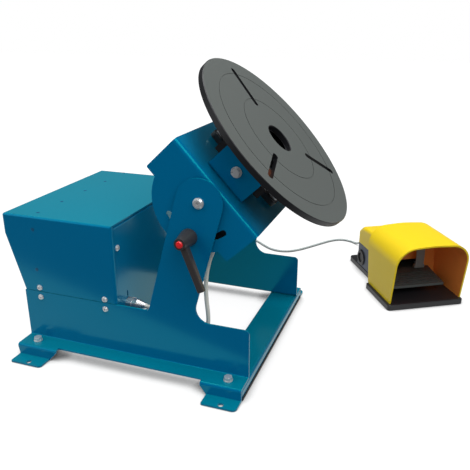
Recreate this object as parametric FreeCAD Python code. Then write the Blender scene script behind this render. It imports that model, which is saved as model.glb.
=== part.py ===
"""Welding positioner: a motor-driven turntable on a tilting head, with a guarded foot pedal.

Units are millimetres.  The origin is the centre of the four foot holes, on the floor.
+X points from the electrical housing towards the turntable, +Z is up, and the head tilts
about an axis along Y.  The head is drawn flat, with its turntable facing +Z and the tilt
axis through its origin, and is then turned to its stored angle by in_head().
"""
import FreeCAD
import Part
import os
from math import acos, cos, hypot, pi, radians, sin, sqrt, tan

Vector = FreeCAD.Vector
X_AXIS, Y_AXIS, Z_AXIS = Vector(1, 0, 0), Vector(0, 1, 0), Vector(0, 0, 1)

# ---- Driving dimensions: base ----
SHEET = 3.0                     # folded steel sheet
BEND = 2.0                      # inside radius of its folds
SIDE_Y = 165.0                  # outer face of the upright side plates
INNER_Y = SIDE_Y - SHEET
FLANGE_Y, FLANGE_Z = 204.0, 23.0
FLANGE_CUT_Y = 194.0            # edge of the flange between its feet
REAR_X, FRONT_X = -223.0, 214.0
FOOT_X, FOOT_Y, FOOT_EDGE = 186.0, 224.0, 231.0
FOOT_HOLE_R = 4.75
SEAM_Z, SEAM_GAP = 116.0, 1.0   # where the cover meets the side plates
COVER_LIP_Y = 157.0             # inner edge of the cover's front lips
EDGE_WALL, EDGE_LIFT = 1.2, 2.2  # rubber edge strip: side wall, floor to sheet
FRONT_WALL_X = -30.0
COVER_REAR_X, COVER_KNEE_Z, COVER_TOP_Z = -253.0, 223.0, 261.0
BOLT_X, BOLT_Y = (-194.0, 184.0), 183.0
HOSE_GLAND, HOSE_TIP_X = (FRONT_WALL_X, -126.0, 101.0), 6.0
KNOB_Y, KNOB_SHAFT_R = (-70.0, -10.0), 3.0

# ---- Driving dimensions: tilting head ----
PIVOT_X, PIVOT_Z = 130.0, 319.0
HEAD_TURN = 47.0                # stored turn about +Y from face-up, degrees
EAR_R = 39.5
ARM_LEAN = 0.28                 # forward run per unit of height of each arm
CHEEK_Y = 158.0                 # outer face of the head's cheeks
CHEEK_R = 84.0
WEB_HALF, WEB_Z = 98.0, 38.0
SLOT_R, SLOT_W = 60.0, 10.0
SLOT_FROM, SLOT_TO = -4.0, -108.0
STUD_ANGLE = -60.0

# ---- Driving dimensions: turntable and drive ----
TABLE_R, TABLE_T, TABLE_Z = 175.0, 10.0, 111.5
TABLE_BORE_R = 27.0
TABLE_SLOTS = (45.0, 165.0, -75.0)
SLOT_IN, SLOT_OUT, TABLE_SLOT_W = 70.0, 154.0, 11.0
GROOVES = (85.0, 140.0)
SPINDLE_R, SPINDLE_BORE_R = 30.0, 25.0
BEARING_R, BEARING_T = 42.5, 13.0
GEAR_MODULE, GEAR_TEETH, PINION_TEETH = 2.5, 54, 18
GEAR_Z, GEAR_T = 8.0, 14.0
PINION_Y = GEAR_MODULE * (GEAR_TEETH + PINION_TEETH) / 2
BRUSH_X, BRUSH_Y = 35.0, -108.0
BRUSH_SIZE = (14.0, 12.0)
BRUSH_PLATE_Z = 81.0            # top of the block, under its guide plate
BRACKET_BOLT_Z = 67.0
BOX_ENTRY = (66.0, -124.0, -4.0)    # where the hose's gland stands on the terminal box
BOX_GLAND = 18.0

# ---- Driving dimensions: foot pedal, in its own frame (u across, v rearwards) ----
PEDAL_AT, PEDAL_TURN = (404.0, 203.0), 31.0
PEDAL_W, PEDAL_V = 175.0, (-4.0, 115.0, 280.0)
PEDAL_BASE_T = 12.0
BODY_U, BODY_V, BODY_TOP = (28.0, 147.0), (118.0, 236.0), 68.0
HOOD_U, HOOD_TOP, HOOD_CROWN, HOOD_WALL = (9.0, 170.0), 141.0, 5.0, 3.5
HOOD_V = ((5.0, -12.0), (117.0, 137.0))      # front and rear: at the base, at the top
TREADLE_PIN = (150.0, 36.0)     # v and z of the treadle's hinge
LATCH_PIN = (101.0, 98.0)       # v and z of the toe latch's hinge
LATCH_EARS = (104.0, 136.0)     # near side of each ear that holds it
PLUG_AT = (211.0, 34.0)         # v and z of the knockout plug
CABLE_EXIT_Z = 50.0

# ---- Driving dimensions: flexible parts ----
HOSE_D, CABLE_D = 7.5, 5.0
HOSE_ROUTE = [(146.5, -125.0, 244.1), (135, -129, 221), (128, -130.5, 194), (124.5, -130.5, 164),
              (125.5, -130, 134), (128.5, -129.5, 104), (126.7, -129, 85.7), (115.3, -128, 68.1),
              (96.8, -127, 58.2), (75.8, -126.5, 58.2), (57.1, -126, 67.7), (43.6, -126, 83.8),
              (32.3, -126, 95.1), (18.5, -126, 101.0), (6.0, -126.0, 101.0)]
FLOOR_Z = CABLE_D / 2
CABLE_ROUTE_A = [(336.0, 486.0, 50.0), (325, 505, 45), (313, 526, 29), (301, 547, 11), (286, 568, FLOOR_Z),
                 (264, 585, FLOOR_Z), (238, 588, FLOOR_Z), (215, 573, FLOOR_Z), (192, 541, FLOOR_Z),
                 (168, 505, FLOOR_Z), (143, 470, FLOOR_Z), (115, 447, FLOOR_Z), (80, 447, FLOOR_Z),
                 (50, 468, FLOOR_Z), (17, 500, FLOOR_Z), (-17, 512, FLOOR_Z), (-43, 497, FLOOR_Z),
                 (-53, 467, FLOOR_Z), (-51, 436, FLOOR_Z), (-49.5, 411, FLOOR_Z)]
COIL_AT, COIL_MEAN_R, COIL_WIDE, COIL_HIGH = (-80.0, 400.0), 27.5, 10.0, 10.0
CABLE_ROUTE_B = [(-80, 367.5, 7.5), (-110, 368, 5), (-141, 361, FLOOR_Z), (-174, 347, FLOOR_Z),
                 (-212, 333, FLOOR_Z), (-250, 318, FLOOR_Z), (-284, 290, FLOOR_Z), (-306, 254, FLOOR_Z),
                 (-316, 216, FLOOR_Z), (-317, 180, FLOOR_Z), (-311, 150, 6), (-302, 128, 20),
                 (-293, 113, 38), (-282, 104, 56), (-267, 100.5, 69), (-247, 100, 72)]


# ---- Shape helpers ----
def box(x0, x1, y0, y1, z0, z1):
    """Block between two corners."""
    return Part.makeBox(x1 - x0, y1 - y0, z1 - z0, Vector(x0, y0, z0))


def rod(start, axis, radius, length):
    """Solid cylinder from a start point along an axis."""
    return Part.makeCylinder(radius, length, Vector(*start), axis)


def tube(start, axis, outer, inner, length):
    """Hollow cylinder."""
    return rod(start, axis, outer, length).cut(rod(start, axis, inner, length))


def join(shapes):
    """One solid from touching or overlapping solids, with flush faces merged."""
    first = shapes[0]
    return first.fuse(shapes[1:]).removeSplitter()


def turned(profile):
    """Solid of revolution about Z from (radius, z) corners that start and end on the axis side."""
    points = [Vector(r, 0, z) for r, z in profile]
    face = Part.Face(Part.makePolygon(points + points[:1]))
    return face.revolve(Vector(0, 0, 0), Z_AXIS, 360)


def stand(shape, axis, at):
    """Move a solid drawn about +Z so that it lies along an axis at a point."""
    placed = shape.copy()
    turn = FreeCAD.Rotation(Z_AXIS, axis)
    placed.Placement = FreeCAD.Placement(Vector(*at), turn)
    return placed


def outline(corners, plane):
    """Closed face through (u, v, radius) corners, each radius drawn as a tangent arc."""
    put = {"xy": lambda p: Vector(p[0], p[1], 0), "xz": lambda p: Vector(p[0], 0, p[1]),
           "yz": lambda p: Vector(0, p[0], p[1])}[plane]
    edges, previous_end, first_start = [], None, None
    for i, (u, v, radius) in enumerate(corners):
        before, after = corners[i - 1], corners[(i + 1) % len(corners)]
        corner = Vector(u, v, 0)
        to_before = (Vector(before[0], before[1], 0) - corner).normalize()
        to_after = (Vector(after[0], after[1], 0) - corner).normalize()
        start = end = corner
        arc = None
        if radius > 0:
            half = acos(max(-1.0, min(1.0, to_before.dot(to_after)))) / 2
            start = corner + to_before * (radius / tan(half))
            end = corner + to_after * (radius / tan(half))
            inward = (to_before + to_after).normalize()
            middle = corner + inward * (radius / sin(half) - radius)
            arc = Part.Arc(put(start), put(middle), put(end)).toShape()
        if previous_end is None:
            first_start = start
        elif (start - previous_end).Length > 1e-6:
            edges.append(Part.LineSegment(put(previous_end), put(start)).toShape())
        if arc:
            edges.append(arc)
        previous_end = end
    if (first_start - previous_end).Length > 1e-6:
        edges.append(Part.LineSegment(put(previous_end), put(first_start)).toShape())
    return Part.Face(Part.Wire(edges))


def prism(corners, plane, start, depth):
    """Extrude an outline along the axis normal to its plane."""
    axis = {"xy": Z_AXIS, "xz": Y_AXIS, "yz": X_AXIS}[plane]
    solid = outline(corners, plane).extrude(axis * depth)
    solid.translate(axis * start)
    return solid


def folded(path, plane, start, depth, thickness=SHEET, bend=BEND):
    """Folded strip: the path is one face, and the sheet lies on the left of its direction."""
    runs = [(b[0] - a[0], b[1] - a[1]) for a, b in zip(path, path[1:])]
    units = [(dx / hypot(dx, dy), dy / hypot(dx, dy)) for dx, dy in runs]
    near, far = [], []
    for i, (u, v) in enumerate(path):
        ahead = units[min(i, len(units) - 1)]
        behind = units[max(i - 1, 0)]
        spread = 1 + ahead[0] * behind[0] + ahead[1] * behind[1]
        shift = (-(ahead[1] + behind[1]) / spread, (ahead[0] + behind[0]) / spread)
        turn = behind[0] * ahead[1] - behind[1] * ahead[0]
        near_r = far_r = 0
        if abs(turn) > 1e-9:
            near_r, far_r = (bend + thickness, bend) if turn > 0 else (bend, bend + thickness)
        near.append((u, v, near_r))
        far.append((u + shift[0] * thickness, v + shift[1] * thickness, far_r))
    return prism(near + far[::-1], plane, start, depth)


def both_sides(shape):
    """The shape and its mirror image across the XZ plane."""
    return [shape, shape.mirror(Vector(0, 0, 0), Y_AXIS)]


def rounded(shape, radius, chosen):
    """Fillet the edges that a test picks by centre point and direction."""
    edges = [e for e in shape.Edges if chosen(e)]
    return shape.makeFillet(radius, edges)


def in_head(shape):
    """Turn a shape drawn in the flat head frame to the stored tilt."""
    placed = shape.copy()
    placed.rotate(Vector(0, 0, 0), Y_AXIS, HEAD_TURN)
    placed.translate(Vector(PIVOT_X, 0, PIVOT_Z))
    return placed


def in_pedal(shape):
    """Turn a shape drawn in the pedal's own frame to where the pedal stands."""
    placed = shape.copy()
    placed.rotate(Vector(0, 0, 0), Z_AXIS, PEDAL_TURN)
    placed.translate(Vector(PEDAL_AT[0], PEDAL_AT[1], 0))
    return placed


def compound(shapes):
    """Separate solids that share one node."""
    return Part.Compound(shapes)


# ---- Fasteners, drawn about +Z with the head's seat at z = 0 and the head above it ----
def button_screw(size, grip):
    """Dome-headed screw with a hexagon socket."""
    head_r, head_h = size * 0.92, size * 0.55
    profile = [(0, -grip), (size / 2, -grip), (size / 2, 0), (head_r, 0), (head_r, head_h * 0.35),
               (head_r * 0.62, head_h), (0, head_h)]
    return turned(profile).cut(hexagon(size * 0.6, head_h * 0.4, head_h))


def hexagon(across_flats, z0, z1):
    """Upright hexagonal prism."""
    corner_r = across_flats / sqrt(3)
    points = [Vector(corner_r * cos(k * pi / 3), corner_r * sin(k * pi / 3), z0) for k in range(7)]
    return Part.Face(Part.makePolygon(points)).extrude(Vector(0, 0, z1 - z0))


def hex_bolt(size, grip, washer_r, washer_t=1.6):
    """Hexagon bolt on a plain washer, as one solid."""
    head = hexagon(size * 1.6, washer_t, washer_t + size * 0.65)
    crown = turned([(0, washer_t), (size * 0.78, washer_t), (size * 0.78, washer_t + size * 0.7),
                    (0, washer_t + size * 0.7)])
    shank = rod((0, 0, -grip), Z_AXIS, size / 2, grip + washer_t)
    return join([shank, rod((0, 0, 0), Z_AXIS, washer_r, washer_t), head.fuse(crown)])


def hex_nut(size):
    """Plain hexagon nut with its seat at z = 0, lying below it."""
    nut = hexagon(size * 1.6, -size * 0.8, 0)
    return nut.cut(rod((0, 0, -size), Z_AXIS, size / 2, size * 2))


# ---- Base ----
def arm_edge(side, z):
    """X of an arm's leaning edge at a height; side is -1 for its rear edge, +1 for its front."""
    slope = sqrt(1 + ARM_LEAN ** 2)
    touch_x = PIVOT_X + side * EAR_R / slope
    touch_z = PIVOT_Z - side * EAR_R * ARM_LEAN / slope
    return touch_x + ARM_LEAN * (z - touch_z)


def side_frame():
    """Near side plate with its arm and ear, folded out at the bottom into flange and feet."""
    notch_r, front_top = 24.0, 110.5
    slope = sqrt(1 + ARM_LEAN ** 2)
    up = (ARM_LEAN / slope, 1 / slope)
    caps = []
    for side in (1, -1):
        touch = (PIVOT_X + side * EAR_R * up[1], PIVOT_Z - side * EAR_R * up[0])
        caps.append((touch[0] + EAR_R * up[0], touch[1] + EAR_R * up[1], EAR_R - 0.001))
    low = FLANGE_Z + BEND + SHEET
    corners = [(REAR_X, low, 0), (FRONT_X, low, 0), (FRONT_X, front_top, 8),
               (arm_edge(1, front_top), front_top, notch_r), caps[0], caps[1],
               (arm_edge(-1, SEAM_Z), SEAM_Z, 8), (REAR_X, SEAM_Z, 2)]
    plate = prism(corners, "xz", -SIDE_Y, SHEET)
    flange = [(-SIDE_Y, low), (-SIDE_Y, FLANGE_Z), (-FLANGE_CUT_Y, FLANGE_Z)]
    pieces = [plate, folded(flange, "yz", REAR_X, FRONT_X - REAR_X)]
    leg_top = FLANGE_Z - SHEET - BEND - 1
    for inner, outer, toe_in, toe_out in ((-141, REAR_X, -157, -220), (141, FRONT_X, 153, FRONT_X)):
        round_out, round_in = (2.5, 6) if outer < 0 else (8, 2.5)
        bend = [(-FLANGE_CUT_Y + 1, FLANGE_Z), (-FLANGE_Y, FLANGE_Z), (-FLANGE_Y, leg_top)]
        pieces.append(folded(bend, "yz", min(inner, outer), abs(outer - inner)))
        leg = [(inner, leg_top, 0), (outer, leg_top, 0), (toe_out, 0, 0), (toe_in, 0, 0)]
        pieces.append(prism(leg, "xz", -FLANGE_Y, SHEET))
        toe = [(toe_in, -FLANGE_Y + SHEET, 0), (toe_out, -FLANGE_Y + SHEET, 0),
               (toe_out, -FOOT_EDGE, round_out), (toe_in, -FOOT_EDGE, round_in)]
        pieces.append(prism(toe, "xy", 0, SHEET))
    frame = join(pieces)
    holes = [rod((x, -FOOT_Y, -1), Z_AXIS, FOOT_HOLE_R, 6) for x in (-FOOT_X, FOOT_X)]
    holes += [rod((x, -BOLT_Y, 15), Z_AXIS, 4.2, 12) for x in BOLT_X]
    holes.append(rod((PIVOT_X, -SIDE_Y - 1, PIVOT_Z), Y_AXIS, 6.1, 6))
    stud_x, stud_z = stud_place()
    holes.append(rod((stud_x, -SIDE_Y - 1, stud_z), Y_AXIS, 5.1, 6))
    holes += [rod((x, -SIDE_Y - 1, z), Y_AXIS, 3.1, 6) for x, z in seam_screw_places()[1::2]]
    return frame.cut(holes)


def stud_place():
    """World X and Z of the clamp stud, which stays with the side plate."""
    angle = radians(STUD_ANGLE - HEAD_TURN)
    return PIVOT_X + SLOT_R * cos(angle), PIVOT_Z + SLOT_R * sin(angle)


def seam_screw_places():
    """X and Z of the screws above and below the seam, cover screw first in each pair."""
    return [(-189.5, SEAM_Z + 8), (-189.5, SEAM_Z - 11), (-53.5, SEAM_Z + 7), (-53.5, SEAM_Z - 12)]


def cross_member(towards):
    """Folded channel under the flanges; towards is +1 at the front and -1 at the rear."""
    edge, inner = (FRONT_X, 154.0) if towards > 0 else (REAR_X + 1.5, -160.0)
    top = FLANGE_Z - SHEET
    path = [(inner, 8), (inner, top), (edge, top), (edge, EDGE_LIFT)]
    if towards > 0:
        path = path[::-1]
    half = FLANGE_Y - SHEET - BEND - 0.5
    channel = folded(path, "xz", -half, 2 * half)
    x = BOLT_X[1] if towards > 0 else BOLT_X[0]
    return channel.cut([rod((x, y, 10), Z_AXIS, 4.2, 15) for y in (-BOLT_Y, BOLT_Y)])


def edge_strips():
    """Rubber strips pushed onto the outer lips of the two cross members."""
    half = FLANGE_Y - SHEET - BEND - 1.0
    strips = []
    for lip in (FRONT_X - SHEET, REAR_X + 1.5):
        strip = box(lip - EDGE_WALL, lip + SHEET + EDGE_WALL, -half, half, 0, 5.5)
        strips.append(strip.cut(box(lip, lip + SHEET, -half - 1, half + 1, EDGE_LIFT, 9)))
    return compound(strips)


def frame_bolts():
    """Four flange bolts on washers."""
    bolt = hex_bolt(8, 20, 8)
    return compound([stand(bolt, Z_AXIS, (x, y, FLANGE_Z)) for x in BOLT_X for y in (-BOLT_Y, BOLT_Y)])


def frame_nuts():
    """Nuts of the flange bolts, under the cross members."""
    seat = FLANGE_Z - 2 * SHEET
    return compound([stand(hex_nut(8), Z_AXIS, (x, y, seat)) for x in BOLT_X for y in (-BOLT_Y, BOLT_Y)])


def chassis_tray():
    """Floor and rear wall of the lower housing, with side edges welded to the side plates."""
    floor_z, top = 32.0, SEAM_Z - SHEET
    path = [(REAR_X + 15, top), (REAR_X, top), (REAR_X, floor_z), (FRONT_WALL_X - SHEET, floor_z)]
    shell = folded(path, "xz", -INNER_Y, 2 * INNER_Y)
    edge = box(REAR_X + 30, FRONT_WALL_X - 30, -INNER_Y, -INNER_Y + 2, floor_z + SHEET, 55)
    holes = [rod((REAR_X - 1, 100, 72), X_AXIS, 8.1, 6), box(REAR_X - 1, REAR_X + 5, -17, 77, 57, 87)]
    return join([shell] + both_sides(edge)).cut(holes)


def front_wall():
    """Front wall of the housing, folded back at top and bottom."""
    bottom, top = 35.0, COVER_TOP_Z - SHEET
    half = INNER_Y - 0.5
    path = [(FRONT_WALL_X - 26, bottom), (FRONT_WALL_X, bottom), (FRONT_WALL_X, top),
            (FRONT_WALL_X - 26, top)]
    wall = folded(path, "xz", -half, 2 * half)
    holes = [rod((FRONT_WALL_X - 6, y, 218), X_AXIS, 3.1, 12) for y in (-150, 150)]
    holes.append(rod((FRONT_WALL_X - 6, HOSE_GLAND[1], HOSE_GLAND[2]), X_AXIS, 8.1, 12))
    holes.append(box(FRONT_WALL_X - 6, FRONT_WALL_X + 1, -128, -124, 115.5, 127))
    beside = box(FRONT_WALL_X - 40, FRONT_WALL_X + 1, -SIDE_Y, 0.5 - COVER_LIP_Y, SEAM_Z + 0.3, COVER_TOP_Z)
    return wall.cut(holes + both_sides(beside))


def housing_cover():
    """Folded cover with a sloping back; returns behind the front wall take its screws."""
    low = SEAM_Z + SEAM_GAP
    profile = [(FRONT_WALL_X, low), (FRONT_WALL_X, COVER_TOP_Z), (COVER_REAR_X, COVER_TOP_Z),
               (COVER_REAR_X, COVER_KNEE_Z), (REAR_X, low)]
    outer = prism([(x, z, 0) for x, z in profile], "xz", -SIDE_Y, 2 * SIDE_Y)
    outer = rounded(outer, 4.0, lambda e: on_cover_fold(e))
    knee = COVER_KNEE_Z - 0.3
    back = FRONT_WALL_X - SHEET
    inner = [(back, low - 1, 0), (back, COVER_TOP_Z - SHEET, 0),
             (COVER_REAR_X + SHEET, COVER_TOP_Z - SHEET, 1), (COVER_REAR_X + SHEET, knee, 1),
             (REAR_X + SHEET, low, 0), (REAR_X + SHEET, low - 1, 0)]
    shell = outer.cut(prism(inner, "xz", -INNER_Y, 2 * INNER_Y))
    shell = shell.cut(box(back - 1, FRONT_WALL_X + 1, -COVER_LIP_Y, COVER_LIP_Y, low - 1,
                          COVER_TOP_Z - SHEET))
    tab = box(back - SHEET, back, -INNER_Y, -136, 130, 245)
    tab = tab.cut(rod((back - 4, -150, 218), X_AXIS, 3.1, 8))
    shell = join([shell] + both_sides(tab))
    rear_tab = [(REAR_X + SHEET - 0.2, low), (REAR_X + 15, low)]
    shell = shell.fuse(folded(rear_tab, "xz", -INNER_Y, 2 * INNER_Y)).removeSplitter()
    holes = []
    for x, z in seam_screw_places()[0::2]:
        holes += both_sides(rod((x, -SIDE_Y - 1, z), Y_AXIS, 3.1, 6))
    middle, outward = rear_slope()
    for y in KNOB_Y:
        holes.append(stand(rod((0, 0, -6), Z_AXIS, KNOB_SHAFT_R + 0.08, 8), outward,
                           (middle.x, y, middle.z)))
    return shell.cut(holes)


def on_cover_fold(edge):
    """True for the cover's folded edges: across the top and back, along its sides and in front."""
    centre = edge.CenterOfMass
    across = abs(centre.y) < 1
    on_side = abs(abs(centre.y) - SIDE_Y) < 1
    folds_across = across and centre.z > SEAM_Z + 5 and centre.x < FRONT_WALL_X - 5
    folds_along = on_side and (centre.z > COVER_TOP_Z - 1 or centre.x < REAR_X - 1)
    in_front = on_side and abs(centre.x - FRONT_WALL_X) < 1
    return folds_across or folds_along or in_front


def seam_straps():
    """Backing straps inside the seam, tapped for the screws of cover and side plate."""
    straps = []
    for (x, upper), (_, lower) in zip(seam_screw_places()[0::2], seam_screw_places()[1::2]):
        strap = box(x - 14, x + 14, -INNER_Y, -INNER_Y + SHEET, lower - 10, upper + 10)
        holes = [rod((x, -SIDE_Y, z), Y_AXIS, 3.0, 10) for z in (upper, lower)]
        straps += both_sides(strap.cut(holes))
    return compound(straps)


def button_screws():
    """The housing's ten identical button-head screws."""
    screw = button_screw(6, 10)
    screws = []
    for x, z in seam_screw_places():
        screws += both_sides(stand(screw, -Y_AXIS, (x, -SIDE_Y, z)))
    screws += [stand(screw, X_AXIS, (FRONT_WALL_X, y, 218)) for y in (-150, 150)]
    return compound(screws)


def power_supply():
    """Open-frame supply on the tray: base plate, transformer core, two coils and a heat sink."""
    x, y, z = -128.0, 0.0, 35.0
    plate = box(x - 68, x + 68, y - 100, y + 100, z, z + 4)
    core = box(x - 35, x + 35, y - 80, y - 20, z + 4, z + 62)
    core = core.cut([box(x - 20, x - 6, y - 81, y - 19, z + 16, z + 50),
                     box(x + 6, x + 20, y - 81, y - 19, z + 16, z + 50)])
    coil = rounded(box(x - 19, x + 19, y - 90, y - 10, z + 17, z + 49), 6,
                   lambda e: abs(e.CenterOfMass.y - y + 50) > 35)
    sink = [box(x - 50, x + 50, y + 30, y + 90, z + 4, z + 10)]
    sink += [box(x - 50, x + 50, y + 32 + 8 * k, y + 34.5 + 8 * k, z + 10, z + 42) for k in range(8)]
    return join([plate, core.fuse(coil)] + sink)


# ---- Glands and inlet ----


def gland(nut_af, body_r, length, bore_r, spigot_r, wall):
    """Cable gland about +Z: spigot and locknut below z = 0, hexagon, ribbed cone above."""
    outer = turned([(0, -wall - 8), (spigot_r, -wall - 8), (spigot_r, 0), (body_r, 0), (body_r, 6),
                    (body_r * 0.92, 6), (body_r * 0.92, length * 0.55), (bore_r + 1.6, length),
                    (0, length)])
    flats = hexagon(nut_af, 1.0, length * 0.3)
    locknut = hexagon(nut_af, -wall - 6, -wall)
    bore = rod((0, 0, -wall - 9), Z_AXIS, bore_r, length + wall + 12)
    return outer.fuse([flats, locknut]).cut(bore)


def hose_gland():
    """Tapered grey gland on the front wall."""
    return stand(gland(24, 12.25, HOSE_TIP_X - FRONT_WALL_X, HOSE_D / 2, 8, SHEET), X_AXIS, HOSE_GLAND)


def rear_gland():
    """Small gland for the pedal's cable on the rear wall."""
    return stand(gland(19, 9.5, 24, CABLE_D / 2, 8, SHEET), -X_AXIS, (REAR_X, 100, 72))


def power_inlet():
    """Recessed three-pin inlet on the rear wall, in one module with the mains switch's well."""
    x = REAR_X
    body = box(x, x + 24, -16.8, 76.8, 57.2, 86.8)
    rim = rounded(box(x - 3, x, -22, 82, 52, 92), 2, lambda e: abs(e.CenterOfMass.x - x + 3) < 0.1)
    inlet = join([body, rim]).cut(box(x - 4, x + 14, -14.9, 0, 60.9, 83.1))
    cavity = prism([(44, 62, 1), (68, 62, 1), (68, 76, 3), (63, 81, 1), (49, 81, 1), (44, 76, 3)],
                   "yz", x - 4, 20)
    inlet = inlet.cut(cavity)
    pins = [box(x - 0.5, x + 16, 55, 57, 74, 78)]
    pins += [box(x - 0.5, x + 16, y, y + 2, 66, 70) for y in (48.0, 62.0)]
    return inlet.fuse(pins)


# ---- Pivots and clamp ----
def pivot_bolts():
    """Shoulder bolts that carry the head, one through each arm."""
    bolt = turned([(0, -22), (5.9, -22), (5.9, 0), (9, 0), (9, 3), (6.4, 5.6), (0, 5.6)])
    bolt = bolt.cut(hexagon(6, 2.6, 7))
    return compound(both_sides(stand(bolt, -Y_AXIS, (PIVOT_X, -SIDE_Y, PIVOT_Z))))


def pivot_nuts():
    """Nuts on washers, on the pivot bolts inside the cheeks."""
    nut = hexagon(18, 2, 10).fuse(rod((0, 0, 0), Z_AXIS, 11, 2))
    nut = nut.cut(rod((0, 0, -1), Z_AXIS, 5.9, 12))
    return compound(both_sides(stand(nut, Y_AXIS, (PIVOT_X, -CHEEK_Y + 7, PIVOT_Z))))


def clamp_stud():
    """Stud fixed in the near arm, with a square head inside the cheek's arc slot."""
    x, z = stud_place()
    stud = rod((x, -193, z), Y_AXIS, 5.0, 193 - 152)
    head = rod((x, -154.8, z), Y_AXIS, 9, 7)
    collar = rod((x, -INNER_Y, z), Y_AXIS, 8, 3.8)
    return join([stud, head, collar])


# ---- Tilting head, drawn flat ----
def cheek_outline():
    """Corners of a cheek's upper block, which merges with a disc round the pivot."""
    low, high = -33.0, WEB_Z - 12
    return [(-WEB_HALF, low, 3), (WEB_HALF, low, 3), (WEB_HALF, high, 0), (-WEB_HALF, high, 0)]


def head_channel():
    """Folded channel: a web under the turntable and two cheeks on the tilt axis."""
    path = [(-CHEEK_Y, WEB_Z - 13), (-CHEEK_Y, WEB_Z), (CHEEK_Y, WEB_Z), (CHEEK_Y, WEB_Z - 13)]
    channel = folded(path[::-1], "yz", -WEB_HALF, 2 * WEB_HALF, SHEET, 5)
    cheek = prism(cheek_outline(), "xz", -CHEEK_Y, SHEET)
    disc = rod((0, -CHEEK_Y, 0), Y_AXIS, CHEEK_R, SHEET)
    disc = disc.cut(box(-100, 100, -200, 200, WEB_Z - 12, 100))
    cheek = cheek.fuse(disc).removeSplitter()
    frame = join([channel] + both_sides(cheek))
    holes = [rod((0, -200, 0), Y_AXIS, 8.0, 400), rod((0, 0, 30), Z_AXIS, 36, 12)]
    holes += [rod((x, y, 30), Z_AXIS, 5.1, 12) for x, y in housing_bolt_places()]
    holes += [rod((x, y, 30), Z_AXIS, 3.0, 12) for x, y in standoff_places()]
    holes += both_sides(arc_slot())
    frame = frame.cut(holes)
    weld_nuts = [stand(hex_nut(10), Z_AXIS, (x, y, WEB_Z - SHEET)) for x, y in housing_bolt_places()]
    return frame.fuse(weld_nuts)


def arc_slot():
    """Curved slot of the near cheek that the clamp stud runs in."""
    ring = tube((0, -CHEEK_Y - 1, 0), Y_AXIS, SLOT_R + SLOT_W / 2, SLOT_R - SLOT_W / 2, 5)
    a, b = radians(SLOT_FROM), radians(SLOT_TO)
    far = 120.0
    mid = (a + b) / 2
    wedge = [(0, 0, 0), (far * cos(a), far * sin(a), 0), (2 * far * cos(mid), 2 * far * sin(mid), 0),
             (far * cos(b), far * sin(b), 0)]
    part_ring = ring.common(prism(wedge, "xz", -CHEEK_Y - 2, 7))
    ends = [rod((SLOT_R * cos(t), -CHEEK_Y - 1, SLOT_R * sin(t)), Y_AXIS, SLOT_W / 2 + 0.01, 5)
            for t in (a, b)]
    return part_ring.fuse(ends)


def housing_bolt_places():
    """Centres of the bearing housing's bolts on the web."""
    return [(x, y) for x in (-68.0, 68.0) for y in (-33.0, 33.0)]


def standoff_places():
    """Centres of the motor plate's standoffs under the web."""
    return [(x, y) for x in (-60.0, 60.0) for y in (60.0, 128.0)]


def pivot_bushes():
    """Flanged bushes pressed into the cheeks; they turn on the pivot bolts."""
    bush = turned([(5.95, -6.8), (8, -6.8), (8, 0), (15, 0), (15, 3.9), (5.95, 3.9)])
    return compound(both_sides(stand(bush, -Y_AXIS, (0, -CHEEK_Y, 0))))


def bearing_housing():
    """Cast flange and barrel on the web, bored for two bearings with a shoulder between."""
    z = WEB_Z
    flange = prism([(-80, -50, 8), (80, -50, 8), (80, 50, 8), (-80, 50, 8)], "xy", z, 10)
    top = z + 42
    barrel = turned([(0, z), (52, z), (52, z + 12), (50, z + 16), (50, top), (0, top)])
    body = flange.fuse(barrel).removeSplitter()
    holes = [rod((0, 0, z - 1), Z_AXIS, BEARING_R, BEARING_T + 1),
             rod((0, 0, z), Z_AXIS, BEARING_R - 3.5, 60),
             rod((0, 0, top - 1 - BEARING_T), Z_AXIS, BEARING_R, 60)]
    holes += [rod((x, y, z - 1), Z_AXIS, 5.1, 12) for x, y in housing_bolt_places()]
    return body.cut(holes)


def housing_bolts():
    """Four bolts on washers that hold the bearing housing to the web."""
    bolt = hex_bolt(10, 19, 10)
    return compound([stand(bolt, Z_AXIS, (x, y, WEB_Z + 10)) for x, y in housing_bolt_places()])


def bearing_levels():
    """Lower face of each bearing."""
    return (WEB_Z, WEB_Z + 41 - BEARING_T)


def bearing_outer_rings():
    """Outer rings of the two sealed bearings, with their seals."""
    rings = []
    for z in bearing_levels():
        ring = turned([(BEARING_R - 4.5, 0), (BEARING_R, 0), (BEARING_R, BEARING_T),
                       (BEARING_R - 4.5, BEARING_T)])
        seal = tube((0, 0, 0.6), Z_AXIS, BEARING_R - 4.5, SPINDLE_R + 4.6, 1.0)
        seal_top = tube((0, 0, BEARING_T - 1.6), Z_AXIS, BEARING_R - 4.5, SPINDLE_R + 4.6, 1.0)
        whole = ring.fuse([seal, seal_top])
        whole.translate(Vector(0, 0, z))
        rings.append(whole)
    return compound(rings)


def bearing_inner_rings():
    """Inner rings, which turn with the spindle."""
    rings = [tube((0, 0, z), Z_AXIS, SPINDLE_R + 4.2, SPINDLE_R, BEARING_T) for z in bearing_levels()]
    return compound(rings)


def motor_plate():
    """Plate under the gear that carries the gearbox."""
    corners = [(-72, 48, 8), (72, 48, 8), (72, 139, 8), (-72, 139, 8)]
    plate = prism(corners, "xy", 0, 5)
    holes = [rod((0, PINION_Y, -1), Z_AXIS, 15.1, 8)]
    holes += [rod((x, y, -1), Z_AXIS, 3.0, 8) for x, y in standoff_places()]
    return plate.cut(holes)


def motor_standoffs():
    """Spacers between web and motor plate, with a spigot through each."""
    post = turned([(0, -5), (3, -5), (3, 0), (7, 0), (7, 30), (3, 30), (3, 33), (0, 33)])
    return compound([stand(post, Z_AXIS, (x, y, 5)) for x, y in standoff_places()])


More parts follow.
